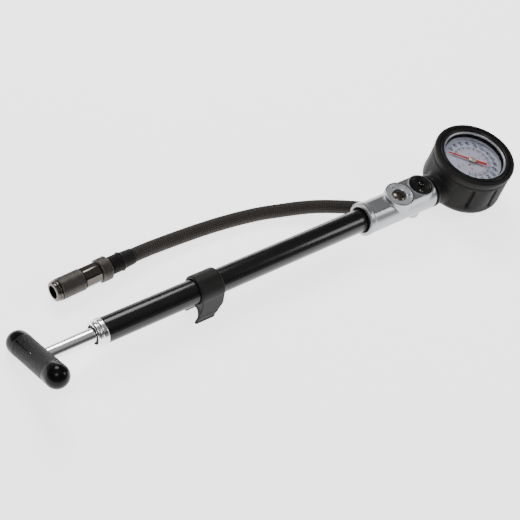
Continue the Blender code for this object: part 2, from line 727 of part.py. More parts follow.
# ---- check valve ----
def make_check_valve():
    seat_low = SOCKET_DEPTH + GAP
    seat_high = seat_low + CHECK_SEAT_LENGTH
    ring("check_seat", PASSAGE_R, CHECK_BORE_R - GAP, seat_low, seat_high, pump_axis, BRASS, COARSE)
    ball_axis = new_axis(
        "check_ball_axis",
        (HEAD_FACE_X + seat_high + GAP + CHECK_BALL_R, 0.0, AXIS_HEIGHT),
        (0.0, QUARTER, 0.0),
    )
    steps = 8
    profile = [(CHECK_BALL_R * math.sin(math.pi * i / steps), CHECK_BALL_R * math.cos(math.pi * i / steps))
               for i in range(steps + 1)]
    profile[0] = (0.0, CHECK_BALL_R)
    profile[-1] = (0.0, -CHECK_BALL_R)
    turned("check_ball", profile, ball_axis, STEEL, COARSE)
    spring_low = seat_high + GAP + 2 * CHECK_BALL_R + GAP
    spring_high = spring_low + CHECK_SPRING_LENGTH
    coil("check_spring", 2.2 * MM, 0.25 * MM, spring_low, spring_high, 2.5, pump_axis, STEEL)


# ---- black port insert beside the bleed valve ----
def make_port_insert():
    floor = TOP_HEIGHT - PORT_POCKET_DEPTH + GAP
    outer = PORT_POCKET_R - GAP
    profile = [
        (0.0, floor + 2.0 * MM),
        (outer - 2.2 * MM, floor + 2.0 * MM),
        (outer - 1.2 * MM, TOP_HEIGHT - 0.9 * MM),
        (outer, TOP_HEIGHT - 0.6 * MM),
        (outer, floor),
        (0.0, floor),
    ]
    insert = turned("port_insert", profile, port_axis, PLASTIC, FINE)
    screw_r = 2.3 * MM
    screw_axis = new_axis(
        "port_screw_axis", (HEAD_FACE_X + PORT_X + 3.1 * MM, 1.9 * MM, AXIS_HEIGHT)
    )
    cut(insert, rod("port_screw_hole", screw_r + GAP, floor + 0.8 * MM, TOP_HEIGHT, screw_axis))
    screw_low = floor + 0.8 * MM + GAP
    screw = rod("port_screw", screw_r, screw_low, TOP_HEIGHT - 1.4 * MM, screw_axis, STEEL, ROUND)
    cut(screw, rod("port_screw_socket", 1.3 * MM, screw_low + 1.0 * MM, TOP_HEIGHT, screw_axis, steps=6))


# ---- gauge ----
def make_gauge_shell():
    ring("gauge_washer", INLET_R + GAP, WASHER_R, WASHER_X, WASHER_X + WASHER_THICK, pump_axis, RUBBER, FINE)
    case_back = GAUGE_X - CASE_R
    inlet_end = case_back + CASE_WALL + 3.0 * MM
    inlet = rod("gauge_stem", INLET_R, HEAD_LENGTH - INLET_DEPTH, inlet_end, pump_axis, BRASS)
    inlet_start = HEAD_LENGTH - INLET_DEPTH - GAP
    cut(inlet, rod("stem_passage", PASSAGE_R, inlet_start, inlet_end + GAP, pump_axis, steps=COARSE))

    lip = BOOT_TOP - BOOT_LIP_HEIGHT
    foot = -AXIS_HEIGHT
    floor = CASE_FLOOR - BOOT_WALL
    shoulder = CASE_SHOULDER - 1.0 * MM
    profile = [
        (0.0, BOOT_TOP),
        (BOOT_R - 0.8 * MM, BOOT_TOP),
        (BOOT_R, BOOT_TOP - 0.8 * MM),
        (BOOT_R, lip + 0.4 * MM),
        (BOOT_R - 0.8 * MM, lip),
        (BOOT_R - 0.8 * MM, lip - 1.0 * MM),
        (BOOT_R, lip - 2.0 * MM),
        (BOOT_R, shoulder),
        (BOOT_R - 1.6 * MM, shoulder - 3.2 * MM),
        (BOOT_R - 5.0 * MM, shoulder - 6.4 * MM),
        (BOOT_FOOT_R + 0.8 * MM, floor + 0.6 * MM),
        (BOOT_FOOT_R, foot),
        (BOOT_FOOT_R - 5.0 * MM, foot),
        (BOOT_FOOT_R - 5.6 * MM, floor),
        (0.0, floor),
    ]
    boot = turned("gauge_boot", profile, gauge_axis, RUBBER, FINEST)
    join(boot, rod("boot_neck", BOOT_NECK_R, BOOT_NECK_X, GAUGE_X - CASE_R, pump_axis))
    room = CASE_R + GAP
    cavity = [
        (0.0, BOOT_TOP + 2.0 * MM),
        (room + 0.3 * MM, BOOT_TOP + 2.0 * MM),
        (room + 0.3 * MM, BOOT_TOP - BEZEL_THICK - GAP),
        (room, BOOT_TOP - BEZEL_THICK - 2 * GAP),
        (room, CASE_SHOULDER),
        (CASE_FLOOR_R, CASE_FLOOR - GAP),
        (0.0, CASE_FLOOR - GAP),
    ]
    cut(
        boot,
        turned("boot_cavity", cavity, gauge_axis, steps=FINEST),
        rod("boot_stem_hole", INLET_R + GAP, BOOT_NECK_X - 1.0 * MM, GAUGE_X - CASE_R + 4.0 * MM, pump_axis),
    )
    rim = case_rim()
    inner = CASE_R - CASE_WALL
    profile = [
        (0.0, CASE_FLOOR + CASE_WALL),
        (CASE_FLOOR_R - CASE_WALL, CASE_FLOOR + CASE_WALL),
        (inner, CASE_SHOULDER + 0.5 * MM),
        (inner, rim),
        (CASE_R, rim),
        (CASE_R, CASE_SHOULDER),
        (CASE_FLOOR_R, CASE_FLOOR),
        (0.0, CASE_FLOOR),
    ]
    case = turned("gauge_case", profile, gauge_axis, STEEL, FINEST)
    cut(case, rod("case_stem_hole", INLET_R + GAP, case_back - 2.0 * MM, case_back + 5.0 * MM, pump_axis))


def case_rim():
    return BOOT_TOP - BEZEL_THICK - GAP


def make_gauge_front():
    inner = CASE_ROOM_R
    top = BOOT_TOP
    profile = [
        (BEZEL_HOLE_R, top - 0.4 * MM),
        (BEZEL_HOLE_R + 0.5 * MM, top),
        (CASE_R - 0.4 * MM, top),
        (CASE_R, top - 0.4 * MM),
        (CASE_R, top - BEZEL_THICK),
        (BEZEL_HOLE_R, top - BEZEL_THICK),
    ]
    turned("gauge_bezel", profile, gauge_axis, PLASTIC, FINEST, closed=True)
    ring_high = case_rim()
    ring_floor = ring_high - LENS_RING_HEIGHT
    ring("lens_ring", LENS_RING_HOLE_R, inner, ring_floor, ring_high, gauge_axis, SILVER, FINEST)
    lens_high = ring_floor - GAP
    lens_low = lens_high - LENS_THICK
    rod("gauge_lens", inner, lens_low, lens_high, gauge_axis, GLASS, FINE)
    ring("dial_spacer", SPACER_HOLE_R, inner, DIAL_Z + GAP, lens_low - GAP, gauge_axis, SILVER, FINEST)
    dial = rod("dial_plate", inner, DIAL_Z - DIAL_THICK, DIAL_Z, gauge_axis, PAPER, FINE)
    cut(dial, rod("dial_hole", ARBOR_R + GAP, 0.0, DIAL_Z + 1.0 * MM, gauge_axis, steps=COARSE))
    pin_r, pin_at = 0.8 * MM, math.radians(204.0)
    pin_axis = new_axis(
        "dial_pin_axis",
        (HEAD_FACE_X + GAUGE_X + 4.8 * MM * math.cos(pin_at), 4.8 * MM * math.sin(pin_at), AXIS_HEIGHT),
    )
    rod("dial_pin", pin_r, DIAL_Z + GAP, DIAL_Z + 0.8 * MM, pin_axis, BRASS, COARSE)


def make_movement():
    top_low = DIAL_Z - DIAL_THICK - 5.0 * MM
    half = MOVEMENT_HALF
    plate = 1.0 * MM
    sector_y = PINION_R + SECTOR_R + MESH_GAP
    far_y = sector_y + half * 11 / 30
    near_y = -half * 2 / 3
    low = -2.0 * MM
    frame = block("movement_frame", (-half, near_y, low), (half, far_y, low + plate), gauge_axis, BRASS)
    join(frame, block("movement_top", (-half, near_y, top_low), (half, far_y, top_low + plate), gauge_axis))
    for side in (-1, 1):
        post_axis = new_axis(
            f"movement_post_axis_{side + 2}",
            (HEAD_FACE_X + GAUGE_X + side * (half - 1.5 * MM), near_y + 1.8 * MM, AXIS_HEIGHT),
        )
        post_high = top_low + plate / 2
        join(frame, rod(f"movement_post_{side + 2}", 1.2 * MM, -1.5 * MM, post_high, post_axis, steps=COARSE))
    sector_axis = new_axis("sector_axis", (HEAD_FACE_X + GAUGE_X, sector_y, AXIS_HEIGHT))
    for name, axis in (("pinion_pivot_hole", gauge_axis), ("sector_pivot_hole", sector_axis)):
        cut(frame, rod(name, ARBOR_R + GAP, -3.0 * MM, top_low + 2 * plate, axis, steps=COARSE))
    mesh_low, mesh_high = 3.0 * MM, 4.6 * MM
    hub_low = DIAL_Z + 1.1 * MM
    profile = [
        (0.0, hub_low - 0.1 * MM),
        (ARBOR_R, hub_low - 0.1 * MM),
        (ARBOR_R, mesh_high),
        (PINION_R, mesh_high),
        (PINION_R, mesh_low),
        (ARBOR_R, mesh_low),
        (ARBOR_R, -1.8 * MM),
        (0.0, -1.8 * MM),
    ]
    turned("pinion", profile, gauge_axis, BRASS, COARSE)
    sector = rod("sector_gear", SECTOR_R, mesh_low, mesh_high - 0.2 * MM, sector_axis, BRASS)
    cut(sector, block("sector_back", (-half, 1.5 * MM, 0.0), (half, half, 2 * mesh_high), sector_axis))
    arbor_high = top_low + plate - 0.2 * MM
    join(sector, rod("sector_arbor", ARBOR_R, -1.8 * MM, arbor_high, sector_axis, steps=COARSE))
    sweep = math.radians(250.0)
    start = math.radians(200.0)
    count = 16
    height = 5.5 * MM
    turns = [start + sweep * i / count for i in range(count + 1)]
    points = [(BOURDON_R * math.cos(turn), BOURDON_R * math.sin(turn), height) for turn in turns]
    tube("bourdon_tube", points, BOURDON_TUBE_R, gauge_axis, BRASS, 1)


def make_pointer():
    low = DIAL_Z + 1.1 * MM + GAP
    thick = 0.4 * MM
    width, tail_width = 0.5 * MM, 0.7 * MM
    outline = [
        (POINTER_REACH, 0.0),
        (POINTER_REACH - 1.2 * MM, width / 2),
        (0.0, tail_width),
        (-POINTER_TAIL, tail_width),
        (-POINTER_TAIL, -tail_width),
        (0.0, -tail_width),
        (POINTER_REACH - 1.2 * MM, -width / 2),
    ]
    curve = bpy.data.curves.new("pointer", "CURVE")
    curve.dimensions = "2D"
    curve.fill_mode = "BOTH"
    curve.extrude = thick / 2
    spline = curve.splines.new("POLY")
    spline.points.add(len(outline) - 1)
    for point, (x, y) in zip(spline.points, outline):
        point.co = (x, y, 0.0, 1.0)
    spline.use_cyclic_u = True
    pointer = place(bpy.data.objects.new("pointer", curve), gauge_axis, RED, (0.0, 0.0, low + thick / 2))
    pointer.rotation_euler = (0.0, 0.0, POINTER_REST)
    hub_low = low + thick + GAP / 2
    profile = [
        (0.0, hub_low + 0.9 * MM),
        (HUB_R * 0.6, hub_low + 0.75 * MM),
        (HUB_R, hub_low + 0.3 * MM),
        (HUB_R, hub_low),
        (0.0, hub_low),
    ]
    turned("pointer_hub", profile, gauge_axis, BRASS)


# ---- hose ----
def make_hose():
    rod("hose_adapter", ADAPTER_R, CHAMBER_R + 1.5 * MM, HOSE_BOSS_END - GAP, hose_port_axis, STEEL)
    ferrule_low = HOSE_BOSS_END + GAP
    ferrule_high = ferrule_low + FERRULE_LENGTH
    profile = [
        (0.0, ferrule_high),
        (FERRULE_R - 0.4 * MM, ferrule_high),
        (FERRULE_R, ferrule_high - 0.4 * MM),
        (FERRULE_R, ferrule_low),
        (0.0, ferrule_low),
    ]
    turned("hose_ferrule", profile, hose_port_axis, GUNMETAL)
    origin = Vector((HEAD_FACE_X, 0.0, AXIS_HEIGHT))
    port = origin + Vector((BLEED_X, 0.0, -HOSE_PORT_DROP))
    out = Vector((math.cos(HOSE_PORT_ANGLE), math.sin(HOSE_PORT_ANGLE), 0.0))
    back = -Vector((math.cos(CHUCK_ANGLE), math.sin(CHUCK_ANGLE), 0.0))
    chuck = Vector((HEAD_FACE_X + CHUCK_START.x, CHUCK_START.y, KNOB_R + HOSE_LIFT))
    straight = 3.0 * MM
    first, last = port + out * (ferrule_high + GAP), chuck + back * GAP
    route = [first + out * straight]
    route += [origin + Vector(point) * MM for point in HOSE_ROUTE]
    route.append(last + back * straight)
    spacing = 2.5 * 2 * HOSE_R
    tube("hose", [first, *smooth_route(route, spacing / 2), last], HOSE_R, None, BRAID, 3)


# ---- valve chuck ----
def make_chuck():
    boot_end = CHUCK_BOOT_LENGTH
    rib = 0.35 * MM
    nipple_room = boot_end * 0.4
    profile = [(0.0, nipple_room), (NIPPLE_R + GAP, nipple_room), (NIPPLE_R + GAP, boot_end)]
    height = boot_end
    for _ in range(3):
        profile += [(CHUCK_BOOT_R, height), (CHUCK_BOOT_R, height - 1.2 * MM)]
        profile += [(CHUCK_BOOT_R - rib, height - 1.6 * MM), (CHUCK_BOOT_R - rib, height - 2.0 * MM)]
        height -= 2.4 * MM
    bump = boot_end * 0.5
    profile += [
        (CHUCK_BOOT_R + 0.1 * MM, bump + 0.8 * MM),
        (CHUCK_BOOT_R + 0.1 * MM, bump - 0.4 * MM),
        (HOSE_R + 0.7 * MM, bump - 1.2 * MM),
        (HOSE_R + 0.2 * MM, 0.0),
        (0.0, 0.0),
    ]
    turned("chuck_boot", profile, chuck_axis, RUBBER)

    knob_low = boot_end + GAP
    knob_high = knob_low + KNOB_LENGTH
    hex_low = knob_high + GAP
    hex_high = hex_low + HEX_LENGTH
    swivel_end = hex_high + SWIVEL_LENGTH
    neck = SWIVEL_R - 0.2 * MM
    profile = [
        (0.0, swivel_end),
        (SWIVEL_R, swivel_end),
        (SWIVEL_R, hex_low + 1.0 * MM),
        (neck, hex_low + 1.0 * MM),
        (neck, knob_low + 1.0 * MM),
        (NIPPLE_R, knob_low + 1.0 * MM),
        (NIPPLE_R, nipple_room + GAP),
        (0.0, nipple_room + GAP),
    ]
    body = turned("chuck_body", profile, chuck_axis, GUNMETAL)
    corner_r = HEX_R / math.cos(math.pi / 8)
    join(body, rod("chuck_hex", corner_r, hex_low, hex_high, chuck_axis, steps=8, turn=math.pi / 8))
    cut(body, rod("chuck_air_way", PIN_R + GAP, 0.0, swivel_end + 1.0 * MM, chuck_axis, steps=COARSE))

    edge = 0.5 * MM
    profile = [
        (neck + GAP, knob_high),
        (KNOB_R - edge, knob_high),
        (KNOB_R, knob_high - edge),
        (KNOB_R, knob_low + 2 * edge),
        (KNOB_R - 2 * edge, knob_low),
        (neck + GAP, knob_low),
    ]
    turned("chuck_knob", profile, chuck_axis, GUNMETAL, closed=True)

    thimble_low = hex_high + GAP
    thimble_high = thimble_low + THIMBLE_LENGTH
    gasket_low = swivel_end + GAP
    gasket_high = gasket_low + GASKET_LENGTH
    gasket_r = VALVE_BORE_R + 0.6 * MM
    profile = [
        (VALVE_BORE_R, thimble_high),
        (THIMBLE_R - edge, thimble_high),
        (THIMBLE_R, thimble_high - edge),
        (THIMBLE_R, thimble_low + edge),
        (THIMBLE_R - edge, thimble_low),
        (SWIVEL_R + GAP, thimble_low),
        (SWIVEL_R + GAP, gasket_high + GAP),
        (VALVE_BORE_R, gasket_high + GAP),
    ]
    turned("chuck_thimble", profile, chuck_axis, GUNMETAL, closed=True)
    ring("chuck_gasket", PIN_R + 2 * GAP, gasket_r, gasket_low, gasket_high, chuck_axis, RUBBER)
    tip_low = thimble_high + GAP
    tip_high = tip_low + TIP_LENGTH
    profile = [
        (VALVE_BORE_R + 0.2 * MM, tip_high),
        (THIMBLE_R - 1.4 * MM, tip_high),
        (THIMBLE_R - 0.7 * MM, tip_high - 0.5 * MM),
        (THIMBLE_R - 0.2 * MM, tip_low + 0.4 * MM),
        (THIMBLE_R - 0.6 * MM, tip_low),
        (VALVE_BORE_R + 0.2 * MM, tip_low),
    ]
    turned("chuck_tip", profile, chuck_axis, GUNMETAL, closed=True)
    pin_low = swivel_end - PIN_LENGTH / 2
    rod("chuck_pin", PIN_R, pin_low, pin_low + PIN_LENGTH, chuck_axis, BRASS, COARSE)


make_barrel()
make_gland()
make_plunger()
make_handle()
make_clip()
make_head()
make_bleed_valve()
make_check_valve()
make_port_insert()
make_gauge_shell()
make_gauge_front()
make_movement()
make_pointer()
make_hose()
make_chuck()
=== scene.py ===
"""Shock suspension pump: the visible pieces, finishes, camera and light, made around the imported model."""
import math

import bmesh
import bpy
from bpy.props import FloatProperty, FloatVectorProperty, IntProperty, PointerProperty
from mathutils import Matrix, Vector


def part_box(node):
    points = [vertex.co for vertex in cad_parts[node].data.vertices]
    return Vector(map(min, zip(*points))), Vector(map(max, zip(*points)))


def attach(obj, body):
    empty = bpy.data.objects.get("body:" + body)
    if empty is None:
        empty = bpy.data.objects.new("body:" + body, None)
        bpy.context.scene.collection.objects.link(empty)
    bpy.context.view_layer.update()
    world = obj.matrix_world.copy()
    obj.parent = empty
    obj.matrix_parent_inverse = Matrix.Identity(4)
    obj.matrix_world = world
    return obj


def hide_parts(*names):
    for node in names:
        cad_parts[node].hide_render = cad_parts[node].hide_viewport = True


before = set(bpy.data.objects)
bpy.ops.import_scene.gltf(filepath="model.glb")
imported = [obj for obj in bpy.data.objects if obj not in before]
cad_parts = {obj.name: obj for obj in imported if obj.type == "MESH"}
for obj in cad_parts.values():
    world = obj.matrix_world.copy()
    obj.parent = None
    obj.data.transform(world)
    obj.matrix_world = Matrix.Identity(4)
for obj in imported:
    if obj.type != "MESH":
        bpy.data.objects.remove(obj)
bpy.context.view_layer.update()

bl_info = {
    "name": "Shock Suspension Pump",
    "version": (1, 0, 0),
    "blender": (4, 5, 0),
    "location": "3D View > Sidebar > Pump",
    "description": "Builds a high-pressure shock pump with its gauge, hose and valve chuck",
    "category": "Add Mesh",
}

MM = 0.001
TAU = 2 * math.pi
BLEED_AT = 30.0 * MM  # places along the pump, from the head's face
PORT_AT = 49.7 * MM
LUG_AT = 52.5 * MM
GAUGE_AT = 98.3 * MM
GRIP_AT = -245.74 * MM
CHUCK_AT = -152.0 * MM
CHUCK_SIDE = 46.5 * MM
CHUCK_HEIGHT = 7.85 * MM
CHUCK_TURN = math.radians(183.15)
HOSE_PORT_DROP = 7.5 * MM
HOSE_PORT_TURN = math.radians(146.0)
HOSE_START = 26.3 * MM  # past the ferrule, from the bleed valve's axis
DIAL_FACE = 15.02  # just above the dial's face, in mm from the pump's axis
FIRST_MARK = 131.0  # degrees
SCALE_SWEEP = 270.0
BAR_PER_PSI = 0.0689
CAMERA_LENS = 79.9  # on a 36 mm sensor
CAMERA_PLACE = Vector((-0.3966, -0.3005, 0.5737))
CAMERA_HEADING = math.radians(38.96)  # which way it looks, from +X towards +Y
CAMERA_DIP = math.radians(49.10)  # how far it looks down
CAMERA_ROLL = math.radians(19.90)
GRIP_R = 7.54  # of the T-handle's grip, in mm
GRIP_HALF = 22.84  # from the rod's axis to the middle of a domed end, in mm
AXIS_HEIGHT = 18.0  # of the pump above the floor, in mm
HEAD_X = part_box("head_body")[0][0] + 1.0 * MM
AXIS_Z = (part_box("barrel")[0][2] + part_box("barrel")[1][2]) / 2

PUMP = Matrix.Translation((HEAD_X, 0.0, AXIS_Z)) @ Matrix.Rotation(math.pi / 2, 4, "Y")
BLEED = Matrix.Translation((HEAD_X + BLEED_AT, 0.0, AXIS_Z))
PORT = Matrix.Translation((HEAD_X + PORT_AT, 0.0, AXIS_Z))
LUG = Matrix.Translation((HEAD_X + LUG_AT, 0.0, AXIS_Z))
GAUGE = Matrix.Translation((HEAD_X + GAUGE_AT, 0.0, AXIS_Z))
HOSE_PORT = (
    Matrix.Translation((HEAD_X + BLEED_AT, 0.0, AXIS_Z - HOSE_PORT_DROP))
    @ Matrix.Rotation(HOSE_PORT_TURN, 4, "Z")
    @ Matrix.Rotation(math.pi / 2, 4, "Y")
)
CHUCK = (
    Matrix.Translation((HEAD_X + CHUCK_AT, CHUCK_SIDE, CHUCK_HEIGHT))
    @ Matrix.Rotation(CHUCK_TURN, 4, "Z")
    @ Matrix.Rotation(math.pi / 2, 4, "Y")
)
GRIP_TILT = math.asin((AXIS_HEIGHT - GRIP_R) / GRIP_HALF)  # its lower end rests on the floor
GRIP = Matrix.Translation((HEAD_X + GRIP_AT, 0.0, AXIS_Z)) @ Matrix.Rotation(
    -math.pi / 2 - GRIP_TILT, 4, "X"
)

# The hose's route from the head's face and the pump's axis, in mm.
HOSE_ROUTE = [
    (-6.6, 24.0, -8.9),
    (-15.6, 28.9, -10.0),
    (-25.2, 33.3, -11.3),
    (-38.6, 38.0, -12.6),
    (-52.6, 42.0, -13.2),
    (-68.0, 44.6, -13.2),
    (-83.0, 46.4, -13.2),
    (-98.5, 47.6, -13.2),
    (-114.0, 48.2, -13.1),
    (-127.0, 48.2, -12.5),
    (-139.0, 47.5, -11.1),
]


# ---- sizes and colours that a user would change ----
class PumpSizes(bpy.types.PropertyGroup):
    barrel_radius: FloatProperty(
        name="Barrel radius", description="Outside radius of the barrel", default=8.0 * MM, unit="LENGTH"
    )
    rod_radius: FloatProperty(
        name="Rod radius", description="Radius of the plunger's rod", default=4.5 * MM, unit="LENGTH"
    )
    grip_radius: FloatProperty(
        name="Grip radius", description="Radius of the T-handle's grip", default=7.54 * MM, unit="LENGTH"
    )
    boot_radius: FloatProperty(
        name="Boot radius", description="Radius of the gauge's rubber boot", default=29.3 * MM, unit="LENGTH"
    )
    boot_slots: IntProperty(
        name="Boot slots", description="Upright slots round the gauge's boot", default=10, min=3, max=24
    )
    hose_radius: FloatProperty(
        name="Hose radius", description="Radius over the hose's braid", default=4.7 * MM, unit="LENGTH"
    )
    braid_strands: IntProperty(
        name="Braid strands", description="Strands that wind each way round the hose",
        default=20, min=6, max=40
    )
    knurl_depth: FloatProperty(
        name="Knurl depth", description="Depth of the knurling on the chuck", default=0.16 * MM, unit="LENGTH"
    )
    scale_top: IntProperty(
        name="Scale's top number", description="Highest number on the dial", default=300, min=60, max=600
    )


def colour(name, description, value):
    """A colour property."""
    return FloatVectorProperty(
        name=name, description=description, default=value, subtype="COLOR", size=3, min=0.0, max=1.0
    )


class PumpColours(bpy.types.PropertyGroup):
    anodised: colour("Anodising", "Barrel's satin black anodising", (0.012, 0.0115, 0.0115))
    silver: colour("Silver", "Die-cast head's satin silver", (0.36, 0.365, 0.38))
    chrome: colour("Chrome", "Rod's and gland cap's chrome", (0.86, 0.865, 0.87))
    grip: colour("Grip", "T-handle's black plastic", (0.0065, 0.0063, 0.006))
    plastic: colour("Plastic", "Clip's and bezel's black plastic", (0.012, 0.0115, 0.011))
    rubber: colour("Rubber", "Boot's black rubber", (0.0095, 0.0088, 0.0083))
    braid_high: colour("Braid crest", "Top of the hose's woven strands", (0.088, 0.078, 0.070))
    # Painted shade: the near-black colour given to the gaps between the hose's strands stands in for the
    # shade that falls in them.
    braid_low: colour("Braid valley", "Gaps between the hose's strands", (0.0022, 0.002, 0.0018))
    gunmetal: colour("Gunmetal", "Chuck's dark metal", (0.078, 0.071, 0.064))
    dial: colour("Dial", "Dial's pale face", (0.66, 0.68, 0.83))
    print_dark: colour("Dial print", "Numbers and marks on the dial", (0.012, 0.012, 0.02))
    print_red: colour("Red print", "Inner scale on the dial", (0.52, 0.10, 0.15))
    pointer: colour("Pointer", "Gauge's needle", (0.68, 0.05, 0.035))
    brass: colour("Brass", "Turned brass pieces", (0.66, 0.50, 0.26))


def sizes():
    return bpy.context.scene.pump_sizes


def colours():
    return bpy.context.scene.pump_colours


# ---- finishes ----
class Number:
    """A number socket. Python's operators on it add Math nodes."""

    def __init__(self, finish, socket):
        self.finish = finish
        self.socket = socket

    def maths(self, operation, *values):
        return self.finish.node("ShaderNodeMath", {"operation": operation}, dict(enumerate(values)))

    def __add__(self, other):
        return self.maths("ADD", self, other)

    __radd__ = __add__

    def __mul__(self, other):
        return self.maths("MULTIPLY", self, other)

    __rmul__ = __mul__

    def __sub__(self, other):
        return self.maths("SUBTRACT", self, other)

    def __rsub__(self, other):
        return self.maths("SUBTRACT", other, self)

    def __truediv__(self, other):
        return self.maths("DIVIDE", self, other)

    def __abs__(self):
        return self.maths("ABSOLUTE", self)

    def clamped(self):
        return self.maths("MAXIMUM", self.maths("MINIMUM", self, 1.0), 0.0)


class Finish:
    """A Principled material for one surface of the pump."""

    def __init__(self, name, base, roughness, metallic=0.0, coat=0.0):
        self.material = bpy.data.materials.new(name)
        self.material.use_nodes = True
        self.tree = self.material.node_tree
        self.shader = self.tree.nodes["Principled BSDF"]
        self.base = tuple(base)
        self.roughness = roughness
        self.set("Base Color", (*base, 1.0))
        self.set("Roughness", roughness)
        self.set("Metallic", metallic)
        self.set("Coat Weight", coat)
        self.material.diffuse_color = (*base, 1.0)

    def node(self, kind, settings=None, values=None):
        """Any node: its settings come first, then the values or links of its sockets."""
        node = self.tree.nodes.new(kind)
        for key, value in (settings or {}).items():
            if key == "stops":
                ramp = node.color_ramp
                while len(ramp.elements) < len(value):
                    ramp.elements.new(0.5)
                for element, (position, shade) in zip(ramp.elements, value):
                    element.position = position
                    element.color = (*shade, 1.0)
            else:
                setattr(node, key, value)
        for key, value in (values or {}).items():
            self.feed(node.inputs[key], value)
        output = next(socket for socket in node.outputs if socket.enabled)
        return Number(self, output)

    def feed(self, socket, value):
        if isinstance(value, Number):
            self.tree.links.new(value.socket, socket)
        else:
            socket.default_value = value

    def set(self, name, value):
        self.feed(self.shader.inputs[name], value)

    def output(self, number, name):
        """Another output of the node that a number comes from."""
        return Number(self, number.socket.node.outputs[name])

    def place(self, where=None, scale=(1.0, 1.0, 1.0)):
        """Object coordinates in a place's own frame."""
        spot = self.node("ShaderNodeTexCoord")
        spot = self.output(spot, "Object")
        if where is not None:
            back = where.inverted()
            spot = self.node(
                "ShaderNodeMapping",
                None,
                {"Vector": spot, "Location": back.to_translation(), "Rotation": back.to_euler()},
            )
        if tuple(scale) != (1.0, 1.0, 1.0):
            spot = self.node(
                "ShaderNodeVectorMath", {"operation": "MULTIPLY"}, {0: spot, 1: scale}
            )
        return spot

    def grain(self, spot, scale, detail=3.0, rough=0.5):
        """Noise between 0 and 1."""
        return self.node(
            "ShaderNodeTexNoise", None, {"Vector": spot, "Scale": scale, "Detail": detail, "Roughness": rough}
        )

    def pits(self, spot, scale, feature="F1"):
        """Distance to scattered cells."""
        return self.node("ShaderNodeTexVoronoi", {"feature": feature}, {"Vector": spot, "Scale": scale})

    def axes(self, spot):
        parts = self.node("ShaderNodeSeparateXYZ", None, {"Vector": spot})
        return [self.output(parts, name) for name in "XYZ"]

    def ease(self, value, low, high, start=0.0, end=1.0):
        return self.node(
            "ShaderNodeMapRange",
            {"interpolation_type": "SMOOTHSTEP"},
            {"Value": value, "From Min": low, "From Max": high, "To Min": start, "To Max": end},
        )

    def blend(self, factor, first, second):
        """Mixes two colours."""
        mixed = self.node(
            "ShaderNodeMix",
            {"data_type": "RGBA"},
            {0: factor, 6: first if isinstance(first, Number) else (*first, 1.0),
             7: second if isinstance(second, Number) else (*second, 1.0)},
        )
        return mixed

    def attribute(self, name):
        found = self.node("ShaderNodeAttribute", {"attribute_name": name})
        return self.output(found, "Fac")

    def bump(self, height, distance, strength=1.0):
        """Raises the surface by a height between 0 and 1 times a distance."""
        self.set("Normal", self.node(
            "ShaderNodeBump", None, {"Height": height, "Distance": distance, "Strength": strength}
        ))

    def vary(self, noise_value, darker, lighter):
        """Shades the base colour between two multiples of itself."""
        low = tuple(c * darker for c in self.base)
        high = tuple(min(1.0, c * lighter) for c in self.base)
        mixed = self.blend(noise_value, low, high)
        self.set("Base Color", mixed)
        return mixed


MADE = {}


def finish(name):
    """The named finish, made once."""
    if name not in MADE:
        MADE[name] = FINISHES[name]()
    return MADE[name].material


def anodised():
    f = Finish("black_anodising", colours().anodised, 0.3, 0.35, 0.1)
    f.set("Specular IOR Level", 0.35)
    cloud = f.grain(f.place(), 90.0, 4.0)
    drawn = f.grain(f.place(PUMP, (1.0, 1.0, 0.02)), 2600.0, 2.0)
    f.vary(cloud * 0.7 + drawn * 0.3, 0.75, 1.3)
    f.set("Roughness", 0.17 + 0.08 * cloud + 0.05 * drawn)
    f.bump(drawn, 0.004 * MM)
    return f


def chromed():
    f = Finish("polished_chrome", colours().chrome, 0.06, 1.0)
    smear = f.grain(f.place(), 60.0, 5.0, 0.6)
    turned_marks = f.grain(f.place(PUMP, (0.05, 0.05, 1.0)), 9000.0, 2.0)
    f.vary(smear, 0.94, 1.03)
    f.set("Roughness", 0.15 + 0.08 * smear + 0.04 * turned_marks)
    f.bump(turned_marks, 0.0012 * MM)
    return f


def cast_silver():
    f = Finish("satin_silver", colours().silver, 0.3, 0.85)
    cloud = f.grain(f.place(), 120.0, 4.0)
    grain = f.grain(f.place(), 5200.0, 3.0, 0.6)
    f.vary(cloud * 0.6 + grain * 0.4, 0.86, 1.1)
    f.set("Roughness", 0.25 + 0.12 * grain + 0.06 * cloud)
    f.bump(grain, 0.010 * MM)
    return f


def turned_silver():
    f = Finish("turned_silver", tuple(min(1.0, c * 1.5) for c in colours().silver), 0.32, 0.6)
    lathe_marks = f.grain(f.place(BLEED, (0.02, 0.02, 1.0)), 9000.0, 2.0)
    cloud = f.grain(f.place(), 300.0, 3.0)
    f.vary(cloud, 1.0, 1.25)
    f.set("Roughness", 0.2 + 0.12 * lathe_marks)
    f.bump(lathe_marks, 0.003 * MM)
    return f


def grip_black():
    f = Finish("grip_plastic", colours().grip, 0.35)
    f.set("Specular IOR Level", 0.13)
    spot = f.place(GRIP)
    along = abs(f.axes(spot)[2])
    middle = 1.0 - f.ease(along, 16.8 * MM, 18.4 * MM)
    stipple = f.pits(spot, 1500.0)
    fine = f.grain(spot, 2600.0, 3.0, 0.7)
    height = middle * (stipple * 0.7 + fine * 0.5)
    dust = f.grain(spot, 420.0, 4.0, 0.7)
    light = tuple(c * 2.2 for c in f.base)
    dark = tuple(c * 0.35 for c in f.base)
    speckled = f.blend((fine * 1.6 - 0.35).clamped(), dark, light)
    smooth = f.blend(dust, tuple(c * 0.5 for c in f.base), f.base)
    f.set("Base Color", f.blend(middle, smooth, speckled))
    f.set("Roughness", 0.13 + 0.07 * dust + middle * (0.22 + 0.2 * fine))
    f.bump(height, 0.2 * MM)
    return f


